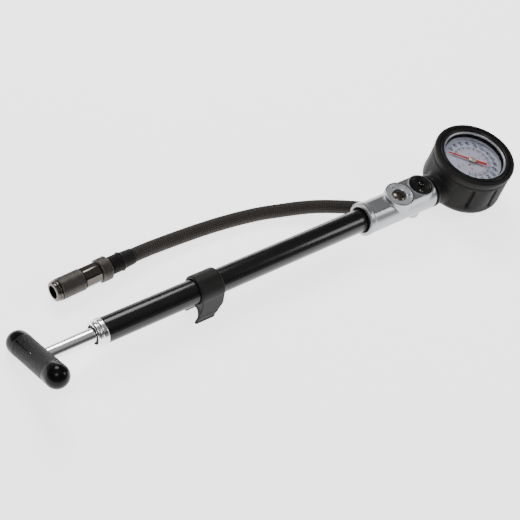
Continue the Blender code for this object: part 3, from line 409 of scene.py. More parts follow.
def moulded_plastic():
    f = Finish("moulded_plastic", colours().plastic, 0.42)
    f.set("Specular IOR Level", 0.14)
    grain = f.grain(f.place(), 3600.0, 3.0, 0.6)
    cloud = f.grain(f.place(), 150.0, 4.0)
    f.vary(cloud * 0.6 + grain * 0.4, 0.65, 1.6)
    f.set("Roughness", 0.36 + 0.14 * grain + 0.08 * cloud)
    f.bump(grain, 0.02 * MM)
    return f


def bezel_plastic():
    f = Finish("bezel_plastic", tuple(c * 0.75 for c in colours().plastic), 0.3)
    f.set("Specular IOR Level", 0.22)
    grain = f.grain(f.place(), 4200.0, 2.0)
    f.vary(grain, 0.7, 1.4)
    f.set("Roughness", 0.24 + 0.12 * grain)
    f.bump(grain, 0.008 * MM)
    return f


def boot_rubber():
    f = Finish("boot_rubber", colours().rubber, 0.5)
    f.set("Specular IOR Level", 0.12)
    grain = f.grain(f.place(), 2400.0, 4.0, 0.65)
    cloud = f.grain(f.place(), 70.0, 5.0, 0.6)
    bloom = f.grain(f.place(), 420.0, 4.0, 0.6)
    f.vary(cloud * 0.5 + bloom * 0.3 + grain * 0.2, 0.6, 1.7)
    f.set("Roughness", 0.42 + 0.16 * cloud + 0.12 * grain)
    f.bump(grain * 0.7 + bloom * 0.3, 0.035 * MM)
    return f


def braided():
    f = Finish("braided_cover", colours().braid_high, 0.6)
    f.set("Specular IOR Level", 0.12)
    crest = f.attribute("crest")
    strand = f.attribute("strand")
    fuzz = f.grain(f.place(), 5200.0, 3.0, 0.7)
    warm = f.blend(strand, tuple(c * 0.45 for c in f.base), f.base)
    # Painted shade: where the weave's crest is low, in the valleys between strands, the colour is mixed
    # towards near black, with random fuzz.
    shade = f.blend((crest * 0.85 + fuzz * 0.5 - 0.25).clamped(), colours().braid_low, warm)
    f.set("Base Color", shade)
    f.set("Roughness", 0.42 + 0.2 * fuzz)
    f.bump(crest * 0.3 + fuzz * 0.7, 0.04 * MM)
    return f


def knurled():
    f = Finish("knurled_gunmetal", colours().gunmetal, 0.35, 0.85)
    crest = f.attribute("crest")
    wear = f.grain(f.place(), 2600.0, 3.0, 0.6)
    # Painted shade and painted highlight: the dark colour goes in the knurl's grooves, where the crest is
    # low, and the light one on its points, mixed with random wear.
    dark = tuple(c * 0.25 for c in f.base)
    light = tuple(min(1.0, c * 1.35) for c in f.base)
    f.set("Base Color", f.blend((crest * 0.8 + wear * 0.5 - 0.2).clamped(), dark, light))
    f.set("Roughness", 0.46 - 0.12 * crest + 0.08 * wear)
    f.bump(wear, 0.012 * MM)
    return f


def polished_gunmetal():
    f = Finish("polished_gunmetal", tuple(min(1.0, c * 1.25) for c in colours().gunmetal), 0.16, 0.95)
    smear = f.grain(f.place(), 260.0, 4.0)
    fine = f.grain(f.place(CHUCK, (1.0, 1.0, 0.06)), 7000.0, 2.0)
    f.vary(smear * 0.6 + fine * 0.4, 0.8, 1.15)
    f.set("Roughness", 0.11 + 0.1 * smear + 0.06 * fine)
    f.bump(fine, 0.002 * MM)
    return f


def bronze_button():
    f = Finish("bronze_button", (0.105, 0.088, 0.072), 0.2, 0.9)
    smear = f.grain(f.place(), 500.0, 4.0)
    f.vary(smear, 0.65, 1.35)
    f.set("Roughness", 0.14 + 0.16 * smear)
    f.bump(smear, 0.02 * MM)
    return f


def dial_paint():
    f = Finish("dial_paint", colours().dial, 0.45)
    cloud = f.grain(f.place(), 150.0, 3.0)
    fleck = f.grain(f.place(), 4000.0, 2.0)
    f.vary(cloud * 0.7 + fleck * 0.3, 0.965, 1.03)
    f.set("Roughness", 0.4 + 0.1 * fleck)
    f.bump(fleck, 0.002 * MM)
    return f


def ink(name, shade):
    f = Finish(name, shade, 0.5)
    f.set("Specular IOR Level", 0.2)
    patchy = f.grain(f.place(), 2600.0, 2.0)
    f.vary(patchy, 0.85, 1.5)
    f.set("Roughness", 0.45 + 0.1 * patchy)
    return f


def needle_paint():
    f = Finish("needle_paint", colours().pointer, 0.35)
    cloud = f.grain(f.place(), 900.0, 3.0)
    f.vary(cloud, 0.85, 1.12)
    f.set("Roughness", 0.3 + 0.1 * cloud)
    return f


def hub_brass():
    f = Finish("hub_brass", (0.70, 0.66, 0.52), 0.3, 0.55)
    rings = f.grain(f.place(GAUGE, (1.0, 1.0, 0.1)), 1800.0, 2.0)
    f.vary(rings, 0.85, 1.12)
    f.set("Roughness", 0.28 + 0.12 * rings)
    f.bump(rings, 0.01 * MM)
    return f


def inner_metal(name, shade, roughness):
    f = Finish(name, shade, roughness, 1.0)
    marks = f.grain(f.place(), 1500.0, 3.0)
    f.vary(marks, 0.82, 1.12)
    f.set("Roughness", roughness + 0.12 * marks)
    f.bump(marks, 0.01 * MM)
    return f


def lens_clear():
    f = Finish("clear_lens", (0.02, 0.02, 0.03), 0.02)
    f.set("IOR", 1.49)
    haze = f.grain(f.place(), 80.0, 3.0)
    f.set("Roughness", 0.015 + 0.02 * haze)
    f.set("Alpha", 0.10)
    return f


def pale_floor():
    f = Finish("pale_floor", (0.9, 0.9, 0.9), 0.8)
    f.set("Specular IOR Level", 0.1)
    f.set("Emission Color", (1.0, 1.0, 1.0, 1.0))
    f.set("Emission Strength", 2.2)
    return f


FINISHES = {
    "anodised": anodised,
    "chrome": chromed,
    "cast_silver": cast_silver,
    "turned_silver": turned_silver,
    "grip": grip_black,
    "plastic": moulded_plastic,
    "bezel": bezel_plastic,
    "rubber": boot_rubber,
    "braid": braided,
    "knurl": knurled,
    "gunmetal": polished_gunmetal,
    "button": bronze_button,
    "dial": dial_paint,
    "print": lambda: ink("dial_print", colours().print_dark),
    "red_print": lambda: ink("red_print", colours().print_red),
    "needle": needle_paint,
    "hub": hub_brass,
    "brass": lambda: inner_metal("turned_brass", colours().brass, 0.28),
    "steel": lambda: inner_metal("plain_steel", (0.55, 0.55, 0.56), 0.28),
    "lens": lens_clear,
    "floor": pale_floor,
}


# ---- shapes ----
def softened(points, radius, steps=3):
    """A line of (radius, height) points with its corners rounded, in mm."""
    rounded = [points[0]]
    for before, here, after in zip(points, points[1:], points[2:]):
        here_v = Vector(here)
        back = Vector(before) - here_v
        on = Vector(after) - here_v
        if back.length < 1e-6 or on.length < 1e-6:
            continue
        reach = min(radius, back.length * 0.48, on.length * 0.48)
        start = here_v + back.normalized() * reach
        end = here_v + on.normalized() * reach
        for i in range(steps + 1):
            t = i / steps
            point = start * (1 - t) ** 2 + here_v * 2 * t * (1 - t) + end * t**2
            rounded.append(tuple(point))
    rounded.append(points[-1])
    return rounded


def lathed(profile, where, steps=96, loop=False):
    """A line of (radius, height) points in mm, spun about the Z axis of a place."""
    shape = bmesh.new()
    corners = [shape.verts.new((r * MM, 0.0, h * MM)) for r, h in profile]
    lines = [shape.edges.new(pair) for pair in zip(corners, corners[1:])]
    if loop:
        lines.append(shape.edges.new((corners[-1], corners[0])))
    bmesh.ops.spin(
        shape, geom=corners + lines, cent=(0, 0, 0), axis=(0, 0, 1), dvec=(0, 0, 0), angle=TAU, steps=steps,
        use_merge=True, use_normal_flip=False, use_duplicate=False,
    )
    bmesh.ops.remove_doubles(shape, verts=shape.verts, dist=1e-7)
    bmesh.ops.dissolve_degenerate(shape, dist=1e-8, edges=shape.edges)
    bmesh.ops.recalc_face_normals(shape, faces=shape.faces)
    bmesh.ops.transform(shape, matrix=where, verts=shape.verts)
    return shape


def pin(radius, low, high, where, steps=96, soft=0.0):
    """A plain round bar between two heights in mm, with its corners rounded if wanted."""
    line = [(0.0, high), (radius, high), (radius, low), (0.0, low)]
    return lathed(softened(line, soft) if soft else line, where, steps)


def boxed(low, high, where, bevel=0.0):
    """A box between two corners in mm, in a place's own frame."""
    shape = bmesh.new()
    bmesh.ops.create_cube(shape, size=1.0)
    size = [(b - a) * MM for a, b in zip(low, high)]
    middle = [(a + b) / 2 * MM for a, b in zip(low, high)]
    bmesh.ops.transform(
        shape, matrix=Matrix.Translation(middle) @ Matrix.Diagonal((*size, 1.0)), verts=shape.verts
    )
    if bevel:
        bmesh.ops.bevel(
            shape, geom=shape.edges[:], offset=bevel * MM, affect="EDGES",
            segments=2, profile=0.5, material=-1
        )
    bmesh.ops.transform(shape, matrix=where, verts=shape.verts)
    return shape


def joined(*shapes):
    """Several shapes in one."""
    whole = bmesh.new()
    for shape in shapes:
        part = bpy.data.meshes.new("part")
        shape.to_mesh(part)
        shape.free()
        whole.from_mesh(part)
        bpy.data.meshes.remove(part)
    return whole


def as_object(name, shape):
    mesh = bpy.data.meshes.new(name)
    shape.to_mesh(mesh)
    shape.free()
    obj = bpy.data.objects.new(name, mesh)
    bpy.context.scene.collection.objects.link(obj)
    return obj


def settled(obj):
    """Applies an object's modifiers to its mesh."""
    view = bpy.context.evaluated_depsgraph_get()
    mesh = bpy.data.meshes.new_from_object(obj.evaluated_get(view), depsgraph=view)
    old = obj.data
    obj.modifiers.clear()
    obj.data = mesh
    bpy.data.meshes.remove(old)
    return obj


def carved(obj, *cutters):
    """Takes closed shapes away from an object."""
    tools = []
    for i, shape in enumerate(cutters):
        tool = as_object(f"cutter_{i}", shape)
        tools.append(tool)
        change = obj.modifiers.new(tool.name, "BOOLEAN")
        change.operation = "DIFFERENCE"
        change.object = tool
        change.solver = "MANIFOLD"
    settled(obj)
    for tool in tools:
        mesh = tool.data
        bpy.data.objects.remove(tool)
        bpy.data.meshes.remove(mesh)
    if not obj.data.polygons:
        raise RuntimeError(f"{obj.name} has no faces left after its cuts")
    return obj


def moulded(obj, grain, passes, factor=0.5):
    """Runs overlapping solids into one skin, with the soft corners of a moulding."""
    skin = obj.modifiers.new("Skin", "REMESH")
    skin.mode = "VOXEL"
    skin.voxel_size = grain * MM
    skin.use_smooth_shade = True
    even = obj.modifiers.new("Even", "SMOOTH")
    even.factor = factor
    even.iterations = passes
    return settled(obj)


def place_piece(obj, look, body, slot, *stands_for, sharp=38.0):
    """Gives a finished piece its surface and body, and hides the imported parts it stands for."""
    mesh = obj.data
    mesh.materials.clear()
    mesh.materials.append(finish(look))
    for face in mesh.polygons:
        face.use_smooth = True
    mesh.set_sharp_from_angle(angle=math.radians(sharp))
    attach(obj, body)
    if stands_for:
        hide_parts(*stands_for)
    return obj


def piece(name, shape, look, body, slot, *stands_for, sharp=38.0):
    return place_piece(as_object(name, shape), look, body, slot, *stands_for, sharp=sharp)


def pressed(obj, move, crest=None):
    """Moves each of a mesh's points by a rule, and keeps the rule's number for the finish."""
    values = []
    for vertex in obj.data.vertices:
        offset, value = move(vertex.co)
        vertex.co = vertex.co + offset
        values.append(value)
    if crest:
        layer = obj.data.attributes.new(crest, "FLOAT", "POINT")
        layer.data.foreach_set("value", values)
    return obj


def smooth_step(x, low, high):
    t = min(1.0, max(0.0, (x - low) / (high - low)))
    return t * t * (3 - 2 * t)


class PumpOperator:
    """What every step of the pump shares."""

    bl_options = {"REGISTER", "UNDO"}


# ---- camera and hose ----
class PUMP_OT_camera(PumpOperator, bpy.types.Operator):
    """Sets the camera above the handle's near side, looking down along the pump."""

    bl_idname = "pump.camera"
    bl_label = "Camera"

    def execute(self, context):
        data = bpy.data.cameras.new("view_camera")
        data.sensor_width = 36.0
        data.lens = CAMERA_LENS
        data.clip_start = 0.02
        data.clip_end = 20.0
        camera = bpy.data.objects.new("view_camera", data)
        turn = (
            Matrix.Rotation(CAMERA_HEADING - math.pi / 2, 4, "Z")
            @ Matrix.Rotation(math.pi / 2 - CAMERA_DIP, 4, "X")
            @ Matrix.Rotation(CAMERA_ROLL, 4, "Z")
        )
        camera.matrix_world = Matrix.Translation(CAMERA_PLACE) @ turn
        context.scene.collection.objects.link(camera)
        context.scene.camera = camera
        return {"FINISHED"}


def hose_line():
    """The hose's centreline, evenly spaced."""
    radius = sizes().hose_radius
    start = HOSE_PORT @ Vector((0.0, 0.0, HOSE_START))
    out = (HOSE_PORT.to_3x3() @ Vector((0.0, 0.0, 1.0))).normalized()
    end = CHUCK @ Vector((0.0, 0.0, -0.3 * MM))
    back = -(CHUCK.to_3x3() @ Vector((0.0, 0.0, 1.0))).normalized()
    origin = Vector((HEAD_X, 0.0, AXIS_Z))
    route = [start, start + out * 3.0 * MM]
    route += [origin + Vector(point) * MM for point in HOSE_ROUTE]
    route += [end + back * 3.0 * MM, end]
    fine = []
    last = len(route) - 1
    for i in range(last):
        before, here = route[max(i - 1, 0)], route[i]
        after, beyond = route[i + 1], route[min(i + 2, last)]
        for step in range(24):
            t = step / 24
            fine.append(
                0.5 * (2 * here + (after - before) * t + (2 * before - 5 * here + 4 * after - beyond) * t**2
                       + (3 * here - before - 3 * after + beyond) * t**3)
            )
    fine.append(route[-1])
    lengths = [0.0]
    for a, b in zip(fine, fine[1:]):
        lengths.append(lengths[-1] + (b - a).length)
    count = round(lengths[-1] / (radius * 0.065))
    line = []
    i = 1
    for k in range(count + 1):
        wanted = lengths[-1] * k / count
        while lengths[i] < wanted - 1e-9:
            i += 1
        share = (wanted - lengths[i - 1]) / (lengths[i] - lengths[i - 1])
        line.append(fine[i - 1].lerp(fine[i], share))
    return line, lengths[-1]


class PUMP_OT_hose(PumpOperator, bpy.types.Operator):
    """Makes the hose with its woven cover, whose strands stand out of the surface."""

    bl_idname = "pump.hose"
    bl_label = "Hose"

    def execute(self, context):
        line, length = hose_line()
        radius = sizes().hose_radius
        strands = sizes().braid_strands
        around = 120
        relief = 0.3 * MM
        lay = TAU * radius * 1.15
        shape = bmesh.new()
        shape.verts.layers.float.new("crest")
        shape.verts.layers.float.new("strand")
        crest = shape.verts.layers.float["crest"]
        strand = shape.verts.layers.float["strand"]
        rings = []
        side = None
        for k, centre in enumerate(line):
            ahead = (line[min(k + 1, len(line) - 1)] - line[max(k - 1, 0)]).normalized()
            if side is None:
                side = ahead.orthogonal().normalized()
            side = (side - ahead * side.dot(ahead)).normalized()
            other = ahead.cross(side)
            run = length * k / (len(line) - 1)
            ring = []
            for j in range(around):
                angle = TAU * j / around
                first = strands * (j / around + run / lay)
                second = strands * (j / around - run / lay)
                over = (math.floor(first) + math.floor(second)) % 2
                across, along = (first, second) if over else (second, first)
                ridge = math.sin(math.pi * (across % 1.0)) ** 0.6
                high = ridge * (0.55 + 0.45 * math.sin(math.pi * (along % 1.0)))
                fade = min(1.0, run / (2 * MM), (length - run) / (2 * MM))
                reach = radius - relief * (1.0 - high) * (0.4 + 0.6 * fade)
                vertex = shape.verts.new(centre + (side * math.cos(angle) + other * math.sin(angle)) * reach)
                # The crest also sets the braided finish's painted shade in the gaps between strands.
                vertex[crest] = high
                vertex[strand] = float(over)
                ring.append(vertex)
            rings.append(ring)
        for a, b in zip(rings, rings[1:]):
            for j in range(around):
                shape.faces.new((a[j], a[(j + 1) % around], b[(j + 1) % around], b[j]))
        shape.faces.new(reversed(rings[0]))
        shape.faces.new(rings[-1])
        bmesh.ops.recalc_face_normals(shape, faces=shape.faces)
        hose = piece("hose_cover", shape, "braid", "pump_body", "braided_hose", "hose", sharp=80.0)
        path = line[::8] + ([line[-1]] if (len(line) - 1) % 8 else [])
        return {"FINISHED"}


# ---- barrel, gland, rod and handle ----
class PUMP_OT_barrel(PumpOperator, bpy.types.Operator):
    """Makes the barrel tube and the seal ring between it and the head."""

    bl_idname = "pump.barrel"
    bl_label = "Barrel"

    def execute(self, context):
        r = sizes().barrel_radius / MM
        line = softened([(6.0, 11.7), (r, 11.7), (r, -202.3), (6.0, -202.3), (6.0, 11.7)], 0.35)
        piece("barrel_tube", lathed(line, PUMP, 160), "anodised", "pump_body", "black_anodised", "barrel")
        seal = softened([(r + 0.2, 0.6), (r + 1.15, 0.6), (r + 1.15, -0.85), (r + 0.2, -0.85),
            (r + 0.2, 0.6)], 0.5)
        piece("barrel_seal", lathed(seal, PUMP), "rubber", "pump_body", "black_rubber", "barrel_o_ring")
        return {"FINISHED"}


class PUMP_OT_gland(PumpOperator, bpy.types.Operator):
    """Makes the chrome gland cap, with its groove and round nose, and the wiper inside it."""

    bl_idname = "pump.gland"
    bl_label = "Gland cap"

    def execute(self, context):
        face = -209.4
        line = softened([
            (4.8, -197.3), (5.7, -197.3), (5.7, -202.6), (8.1, -202.6), (8.45, -203.0), (8.45, face + 3.9),
            (8.0, face + 3.3), (7.5, face + 3.05), (7.5, face + 2.6), (7.85, face + 2.35), (7.9, face + 0.9),
            (7.2, face), (6.2, face), (6.2, -202.9), (4.8, -202.9), (4.8, -197.3),
        ], 0.3, 4)
        piece("gland", lathed(line, PUMP, 128), "chrome", "pump_body", "chrome", "gland_cap")
        wiper = softened([
            (4.6, face + 0.4), (4.9, face + 1.1), (5.1, face + 2.8), (5.9, face + 2.8), (5.9, face + 0.4),
            (5.3, face + 0.9), (4.9, face + 0.35), (4.6, face + 0.4),
        ], 0.15)
        piece("wiper", lathed(wiper, PUMP), "rubber", "pump_body", "black_rubber", "rod_wiper")
        return {"FINISHED"}


class PUMP_OT_rod(PumpOperator, bpy.types.Operator):
    """Makes the chrome rod, from the piston to the inside of the grip."""

    bl_idname = "pump.rod"
    bl_label = "Rod"

    def execute(self, context):
        r = sizes().rod_radius / MM
        line = [(0.0, -32.1), (2.5, -32.1), (2.5, -44.3), (r, -44.3), (r, -248.7), (0.0, -248.7)]
        piece("chrome_rod", lathed(softened(line, 0.3), PUMP, 96), "chrome", "plunger", "chrome", "rod")
        return {"FINISHED"}


class PUMP_OT_grip(PumpOperator, bpy.types.Operator):
    """Makes the T-handle's grip: domed ends, a stippled middle, lengthwise grooves and the rod's hole."""

    bl_idname = "pump.grip"
    bl_label = "Grip"

    def execute(self, context):
        r = sizes().grip_radius / MM
        half = 22.84
        dome = [(r * math.sin(TAU / 4 * i / 24), half + r * math.cos(TAU / 4 * i / 24)) for i in range(25)]
        edge = 17.3
        middle = [(r, edge + 0.5), (r - 0.16, edge), (r - 0.16, -edge), (r, -edge - 0.5)]
        line = dome + middle + [(radius, -height) for radius, height in reversed(dome)]
        grip = as_object("t_grip", lathed(line, GRIP, 144))
        bore = lathed(softened([(0.0, -232.0), (6.4, -232.0), (4.85, -239.2), (4.85, -249.0),
            (0.0, -249.0)], 0.3), PUMP)
        grooves = []
        for turn in (56.0, 236.0):
            where = GRIP @ Matrix.Rotation(math.radians(turn), 4, "Z")
            grooves.append(boxed((r - 1.0, -0.42, -1.5), (r + 1.0, 0.42, 16.5), where))
        carved(grip, bore, *grooves)
        place_piece(grip, "grip", "plunger", "grip_plastic", "handle_grip", sharp=32.0)
        return {"FINISHED"}


# ---- hose clip ----
class PUMP_OT_clip(PumpOperator, bpy.types.Operator):
    """Makes the sliding clip: a band round the barrel and a springy channel under it for the hose."""

    bl_idname = "pump.clip"
    bl_label = "Hose clip"

    def execute(self, context):
        bore, outer = 8.18, 10.15
        low, high, start = -138.0, -121.0, -141.0
        reach = outer + 4.9
        turn = math.radians(-112.0)
        y, z = reach * math.cos(turn), reach * math.sin(turn)
        channel = PUMP @ Matrix.Translation((-z * MM, y * MM, 0.0))
        drop = z + 17.7
        tip = PUMP @ Matrix.Translation(((17.7 - 1.1) * MM, 0.0, 0.0))
        solids = [
            pin(outer, low, high, PUMP, 120, 0.7),
            pin(6.6, start, high, channel, 72),
            boxed((0.0, -6.58, start), (drop - 1.0, 6.58, high), channel),
            lathed([(0.0, high), (1.1, high), (1.1, start), (0.0, start)],
                   tip @ Matrix.Translation((0.0, (y - 6.0) * MM, 0.0)), 32),
            lathed([(0.0, high), (0.88, high), (0.88, start), (0.0, start)],
                   tip @ Matrix.Translation((0.0, (y + 5.78) * MM, 0.0)), 32),
        ]
        lean = math.atan2(12.22 - outer, -z)
        cheek = PUMP @ Matrix.Translation((0.0, -outer * MM, 0.0)) @ Matrix.Rotation(-lean, 4, "Z")
        solids += [
            boxed((-1.0, 0.02, low + 0.1), (7.1, 4.0, high - 0.1), cheek),
            boxed((7.0, 0.04, start + 0.1), (-z + 0.3, 4.0, high - 0.1), cheek),
        ]
        clip = moulded(as_object("clip_band", joined(*solids)), 0.34, 3)
        below = math.atan2(6.5, 10.0)
        ahead = math.atan2(3.0, 10.0)
        slants = []
        for edge, lean, side in ((high, below, (0.0, 40.0)), (low, ahead, (-40.0, 0.0))):
            where = Matrix.Translation((HEAD_X + edge * MM, 0.0, 11.0 * MM)) @ Matrix.Rotation(lean, 4, "Y")
            slants.append(boxed((side[0], -30.0, -40.0), (side[1], 30.0, 0.0), where))
        carved(
            clip,
            pin(bore, -160.0, 0.0, PUMP, 120),
            pin(4.95, -160.0, 0.0, channel, 72),
            boxed((0.0, -4.9, -160.0), (drop + 3.0, 4.9, -100.0), channel),
            *slants,
        )
        moulded(clip, 0.3, 4)
        place_piece(clip, "plastic", "clip", "black_plastic", "hose_clip", sharp=60.0)
        return {"FINISHED"}


# ---- head ----
class PUMP_OT_head(PumpOperator, bpy.types.Operator):
    """Makes the die-cast head: collar, flat-topped neck, twin bosses, lug and hose boss."""

    bl_idname = "pump.head"
    bl_label = "Head"

    def execute(self, context):
        lowered = PUMP @ Matrix.Translation((0.6 * MM, 0.0, 0.0))
        neck = as_object("head_casting", lathed(
            softened([(0.0, 61.5), (10.2, 61.5), (11.1, 60.4), (11.1, 2.0), (0.0, 2.0)], 0.4), lowered, 160))
        carved(neck, boxed((3.4, -14.0, 9.5), (30.0, 14.0, 20.0), Matrix.Translation((HEAD_X, 0.0, AXIS_Z))))
        solids = [
            lathed(softened([(0.0, 4.1), (10.3, 4.1), (11.6, 3.1), (11.6, -1.0),
                (0.0, -1.0)], 0.5), PUMP, 160),
            pin(10.6, -5.0, 12.3, BLEED, 160, 0.5),
            pin(9.7, -5.0, 12.3, PORT, 160, 0.9),
            boxed((0.0, -9.35, -4.0), (19.7, 9.35, 12.1), BLEED, 0.5),
            pin(6.2, -17.9, 0.0, LUG, 96, 0.7),
            lathed(softened([(0.0, 19.0), (5.8, 19.0), (6.1, 0.0), (0.0, 0.0)], 0.4), HOSE_PORT, 96),
        ]
        casting = neck.data
        whole = joined(*solids)
        whole.from_mesh(casting)
        whole.to_mesh(casting)
        whole.free()
        moulded(neck, 0.32, 5)
        top = Matrix.Translation((HEAD_X, 0.0, AXIS_Z))
        carved(
            neck,
            lathed([(0.0, 12.0), (8.3, 12.0), (8.3, 1.2), (9.3, 1.0), (9.3, -0.7), (9.7, -4.0),
                (0.0, -4.0)], PUMP, 128),
            lathed([(0.0, 15.0), (10.3, 15.0), (9.85, 12.0), (9.85, 8.6), (6.3, 8.6), (6.3, 5.4),
                (0.0, 5.4)], BLEED, 128),
            lathed([(0.0, 15.0), (8.9, 15.0), (8.4, 11.9), (8.4, 7.4), (0.0, 7.4)], PORT, 128),
            pin(5.3, 48.2, 70.0, PUMP, 48),
            lathed([(0.0, 24.0), (4.0, 24.0), (3.3, 18.4), (3.3, 10.0), (0.0, 10.0)], HOSE_PORT, 48),
            boxed((4.6, -5.0, 8.8), (19.4, -4.3, 12.0), top, 0.1),
            boxed((35.5, -11.2, 1.2), (39.5, -10.2, 2.2), top @ Matrix.Rotation(0.25, 4, "Y"), 0.2),
        )
        place_piece(neck, "cast_silver", "pump_body", "satin_silver", "head_body", sharp=34.0)
        return {"FINISHED"}


class PUMP_OT_bleed_valve(PumpOperator, bpy.types.Operator):
    """Makes the bleed valve's turned ring with its spanner holes, and the domed button."""

    bl_idname = "pump.bleed_valve"
    bl_label = "Bleed valve"

    def execute(self, context):
        ring = as_object("bleed_valve_ring", lathed(softened([
            (5.1, 10.9), (5.6, 11.45), (8.3, 11.5), (8.7, 12.25), (9.5, 12.25), (9.5, 8.9), (5.1, 8.9),
            (5.1, 10.9),
        ], 0.16), BLEED, 128))
        holes = []
        for angle in (92.0, -26.0):
            turn = math.radians(angle)
            spot = BLEED @ Matrix.Translation((7.0 * MM * math.cos(turn), 7.0 * MM * math.sin(turn), 0.0))
            holes.append(pin(1.05, 9.6, 14.0, spot, 24))
        carved(ring, *holes)
        place_piece(ring, "turned_silver", "pump_body", "satin_silver", "bleed_ring", sharp=30.0)
        turns = [TAU / 4 * i / 16 for i in range(17)]
        crown = [(4.8 * math.sin(a), 9.6 + 2.0 * math.cos(a)) for a in turns]
        line = crown + [(4.8, 8.6), (6.0, 8.6), (6.0, 7.3), (0.0, 7.3)]
        piece("bleed_cap", lathed(line, BLEED, 96), "button", "button", "gunmetal", "bleed_button")
        return {"FINISHED"}


class PUMP_OT_port(PumpOperator, bpy.types.Operator):
    """Makes the black insert beside the bleed valve, with its stepped bowl and socket screw."""

    bl_idname = "pump.port"
    bl_label = "Port insert"

    def execute(self, context):
        insert = as_object("port_bowl", lathed(softened([
            (0.0, 9.7), (3.6, 9.7), (5.4, 9.9), (5.7, 10.6), (6.6, 10.7), (6.9, 11.4), (7.4, 11.7),
            (8.05, 11.7),
            (8.05, 7.7), (0.0, 7.7),
        ], 0.15), PORT, 128))
        spot = PORT @ Matrix.Translation((3.1 * MM, 1.9 * MM, 0.0))
        carved(insert, pin(2.6, 8.5, 14.0, spot, 48))
        place_piece(insert, "bezel", "pump_body", "black_plastic", "port_insert", sharp=30.0)
        screw = as_object("port_socket_screw", lathed(
            softened([(0.0, 11.3), (1.9, 11.3), (2.5, 10.7), (2.5, 8.8), (0.0, 8.8)], 0.2), spot, 64))
        carved(screw, pin(1.35, 9.8, 12.0, spot, 6))
        place_piece(screw, "gunmetal", "pump_body", "steel", "port_screw", sharp=30.0)
        nub = PORT @ Matrix.Translation((-1.2 * MM, -2.9 * MM, 0.0))
        dome = [(1.6 * math.sin(TAU / 4 * i / 8), 9.6 + 0.9 * math.cos(TAU / 4 * i / 8)) for i in range(9)]
        piece("port_nub", lathed(dome + [(1.6, 9.4), (0.0, 9.4)], nub, 40), "gunmetal", "pump_body", "steel")
        return {"FINISHED"}


# ---- gauge ----
class PUMP_OT_boot(PumpOperator, bpy.types.Operator):
    """Makes the gauge's rubber boot with its lip, slots, neck and foot, and the washer before it."""

    bl_idname = "pump.boot"
    bl_label = "Gauge boot"

    def execute(self, context):
        r = sizes().boot_radius / MM
        outer = softened([
            (0.0, 22.6), (r - 0.9, 22.6), (r, 21.8), (r, 18.6), (r - 0.2, 17.9), (r - 0.9, 17.5),
            (r - 0.9, 16.6),
            (r - 0.3, 15.6), (r - 0.3, 14.0), (r - 0.1, -6.0), (r - 1.6, -9.2), (r - 5.0, -12.4),
            (18.4, -14.5), (17.4, -17.9), (12.4, -17.9), (11.8, -15.0), (0.0, -15.0),
        ], 0.9)
        neck = [(0.0, 63.7), (10.0, 63.7), (10.6, 64.2), (10.6, 67.0), (11.6, 70.0), (13.0, 73.0),
            (0.0, 73.0)]
        solid = as_object("gauge_jacket", joined(
            lathed(outer, GAUGE, 192), lathed(neck, PUMP, 128)
        ))
        moulded(solid, 0.5, 4)
        room = 25.9
        carved(
            solid,
            lathed([(0.0, 26.0), (room + 0.7, 26.0), (room + 0.25, 22.0), (room + 0.25, 21.2), (room, 21.0),
                    (room, -5.0), (19.5, -11.8), (0.0, -11.8)], GAUGE, 192),
            pin(5.3, 60.0, 80.0, PUMP, 48),
        )
        count = sizes().boot_slots
        centre = GAUGE.to_translation()

        def slotted(point):
            flat = Vector((point.x - centre.x, point.y - centre.y, 0.0))
            if flat.length < (r - 2.6) * MM:
                return Vector(), 0.0
            height = (point.z - AXIS_Z) / MM
            turn = math.degrees(math.atan2(flat.y, flat.x))
            if abs(abs(turn) - 180.0) < 24.0:
                return Vector(), 0.0
            phase = ((turn + 2.0) * count / 360.0) % 1.0
            off = abs(phase - 0.5) * 360.0 / count
            groove = 1.0 - smooth_step(off, 1.0, 3.4)
            inside = smooth_step(height, -4.0, 0.0) * (1.0 - smooth_step(height, 12.5, 15.5))
            crown = 0.35 * math.cos(phase * TAU) * inside
            return flat.normalized() * (-1.9 * groove * inside + crown - 0.15 * inside) * MM, groove * inside

        pressed(solid, slotted)
        place_piece(solid, "rubber", "pump_body", "black_rubber", "gauge_boot", sharp=50.0)
        washer = softened([(5.3, 63.4), (11.7, 63.4), (11.7, 61.8), (5.3, 61.8), (5.3, 63.4)], 0.4)
        piece("neck_washer", lathed(washer, PUMP, 128), "bezel", "pump_body", "black_rubber", "gauge_washer")
        return {"FINISHED"}


class PUMP_OT_gauge_rings(PumpOperator, bpy.types.Operator):
    """Makes the bezel, the lens's silver ring and the sloping band round the dial."""

    bl_idname = "pump.gauge_rings"
    bl_label = "Gauge rings"

    def execute(self, context):
        top = 22.7
        bezel = softened([
            (22.8, top - 0.9), (23.5, top - 0.15), (24.2, top), (25.2, top), (25.6, top - 0.3),
            (25.6, top - 1.1),
            (22.8, top - 1.1), (22.8, top - 0.9),
        ], 0.15)
        piece("bezel", lathed(bezel, GAUGE, 192), "bezel", "pump_body", "black_plastic", "gauge_bezel")
        ring = softened([
            (21.6, 20.4), (22.3, 21.3), (24.0, 21.3), (24.0, 20.3), (21.6, 20.3), (21.6, 20.4),
        ], 0.15)
        retainer = lathed(ring, GAUGE, 192)
        piece("lens_retainer", retainer, "turned_silver", "pump_body", "satin_silver", "lens_ring")
        band = softened([
            (20.9, 15.3), (21.2, 17.4), (24.0, 17.5), (24.0, 15.3), (20.9, 15.3),
        ], 0.12)
        surround = lathed(band, GAUGE, 192)
        piece("dial_surround", surround, "turned_silver", "pump_body", "satin_silver", "dial_spacer")
        seal = softened([(20.9, 18.1), (24.0, 18.1), (24.0, 17.7), (20.9, 17.7), (20.9, 18.1)], 0.1)
        piece("lens_seal", lathed(seal, GAUGE, 160), "bezel", "pump_body", "black_rubber")
        return {"FINISHED"}


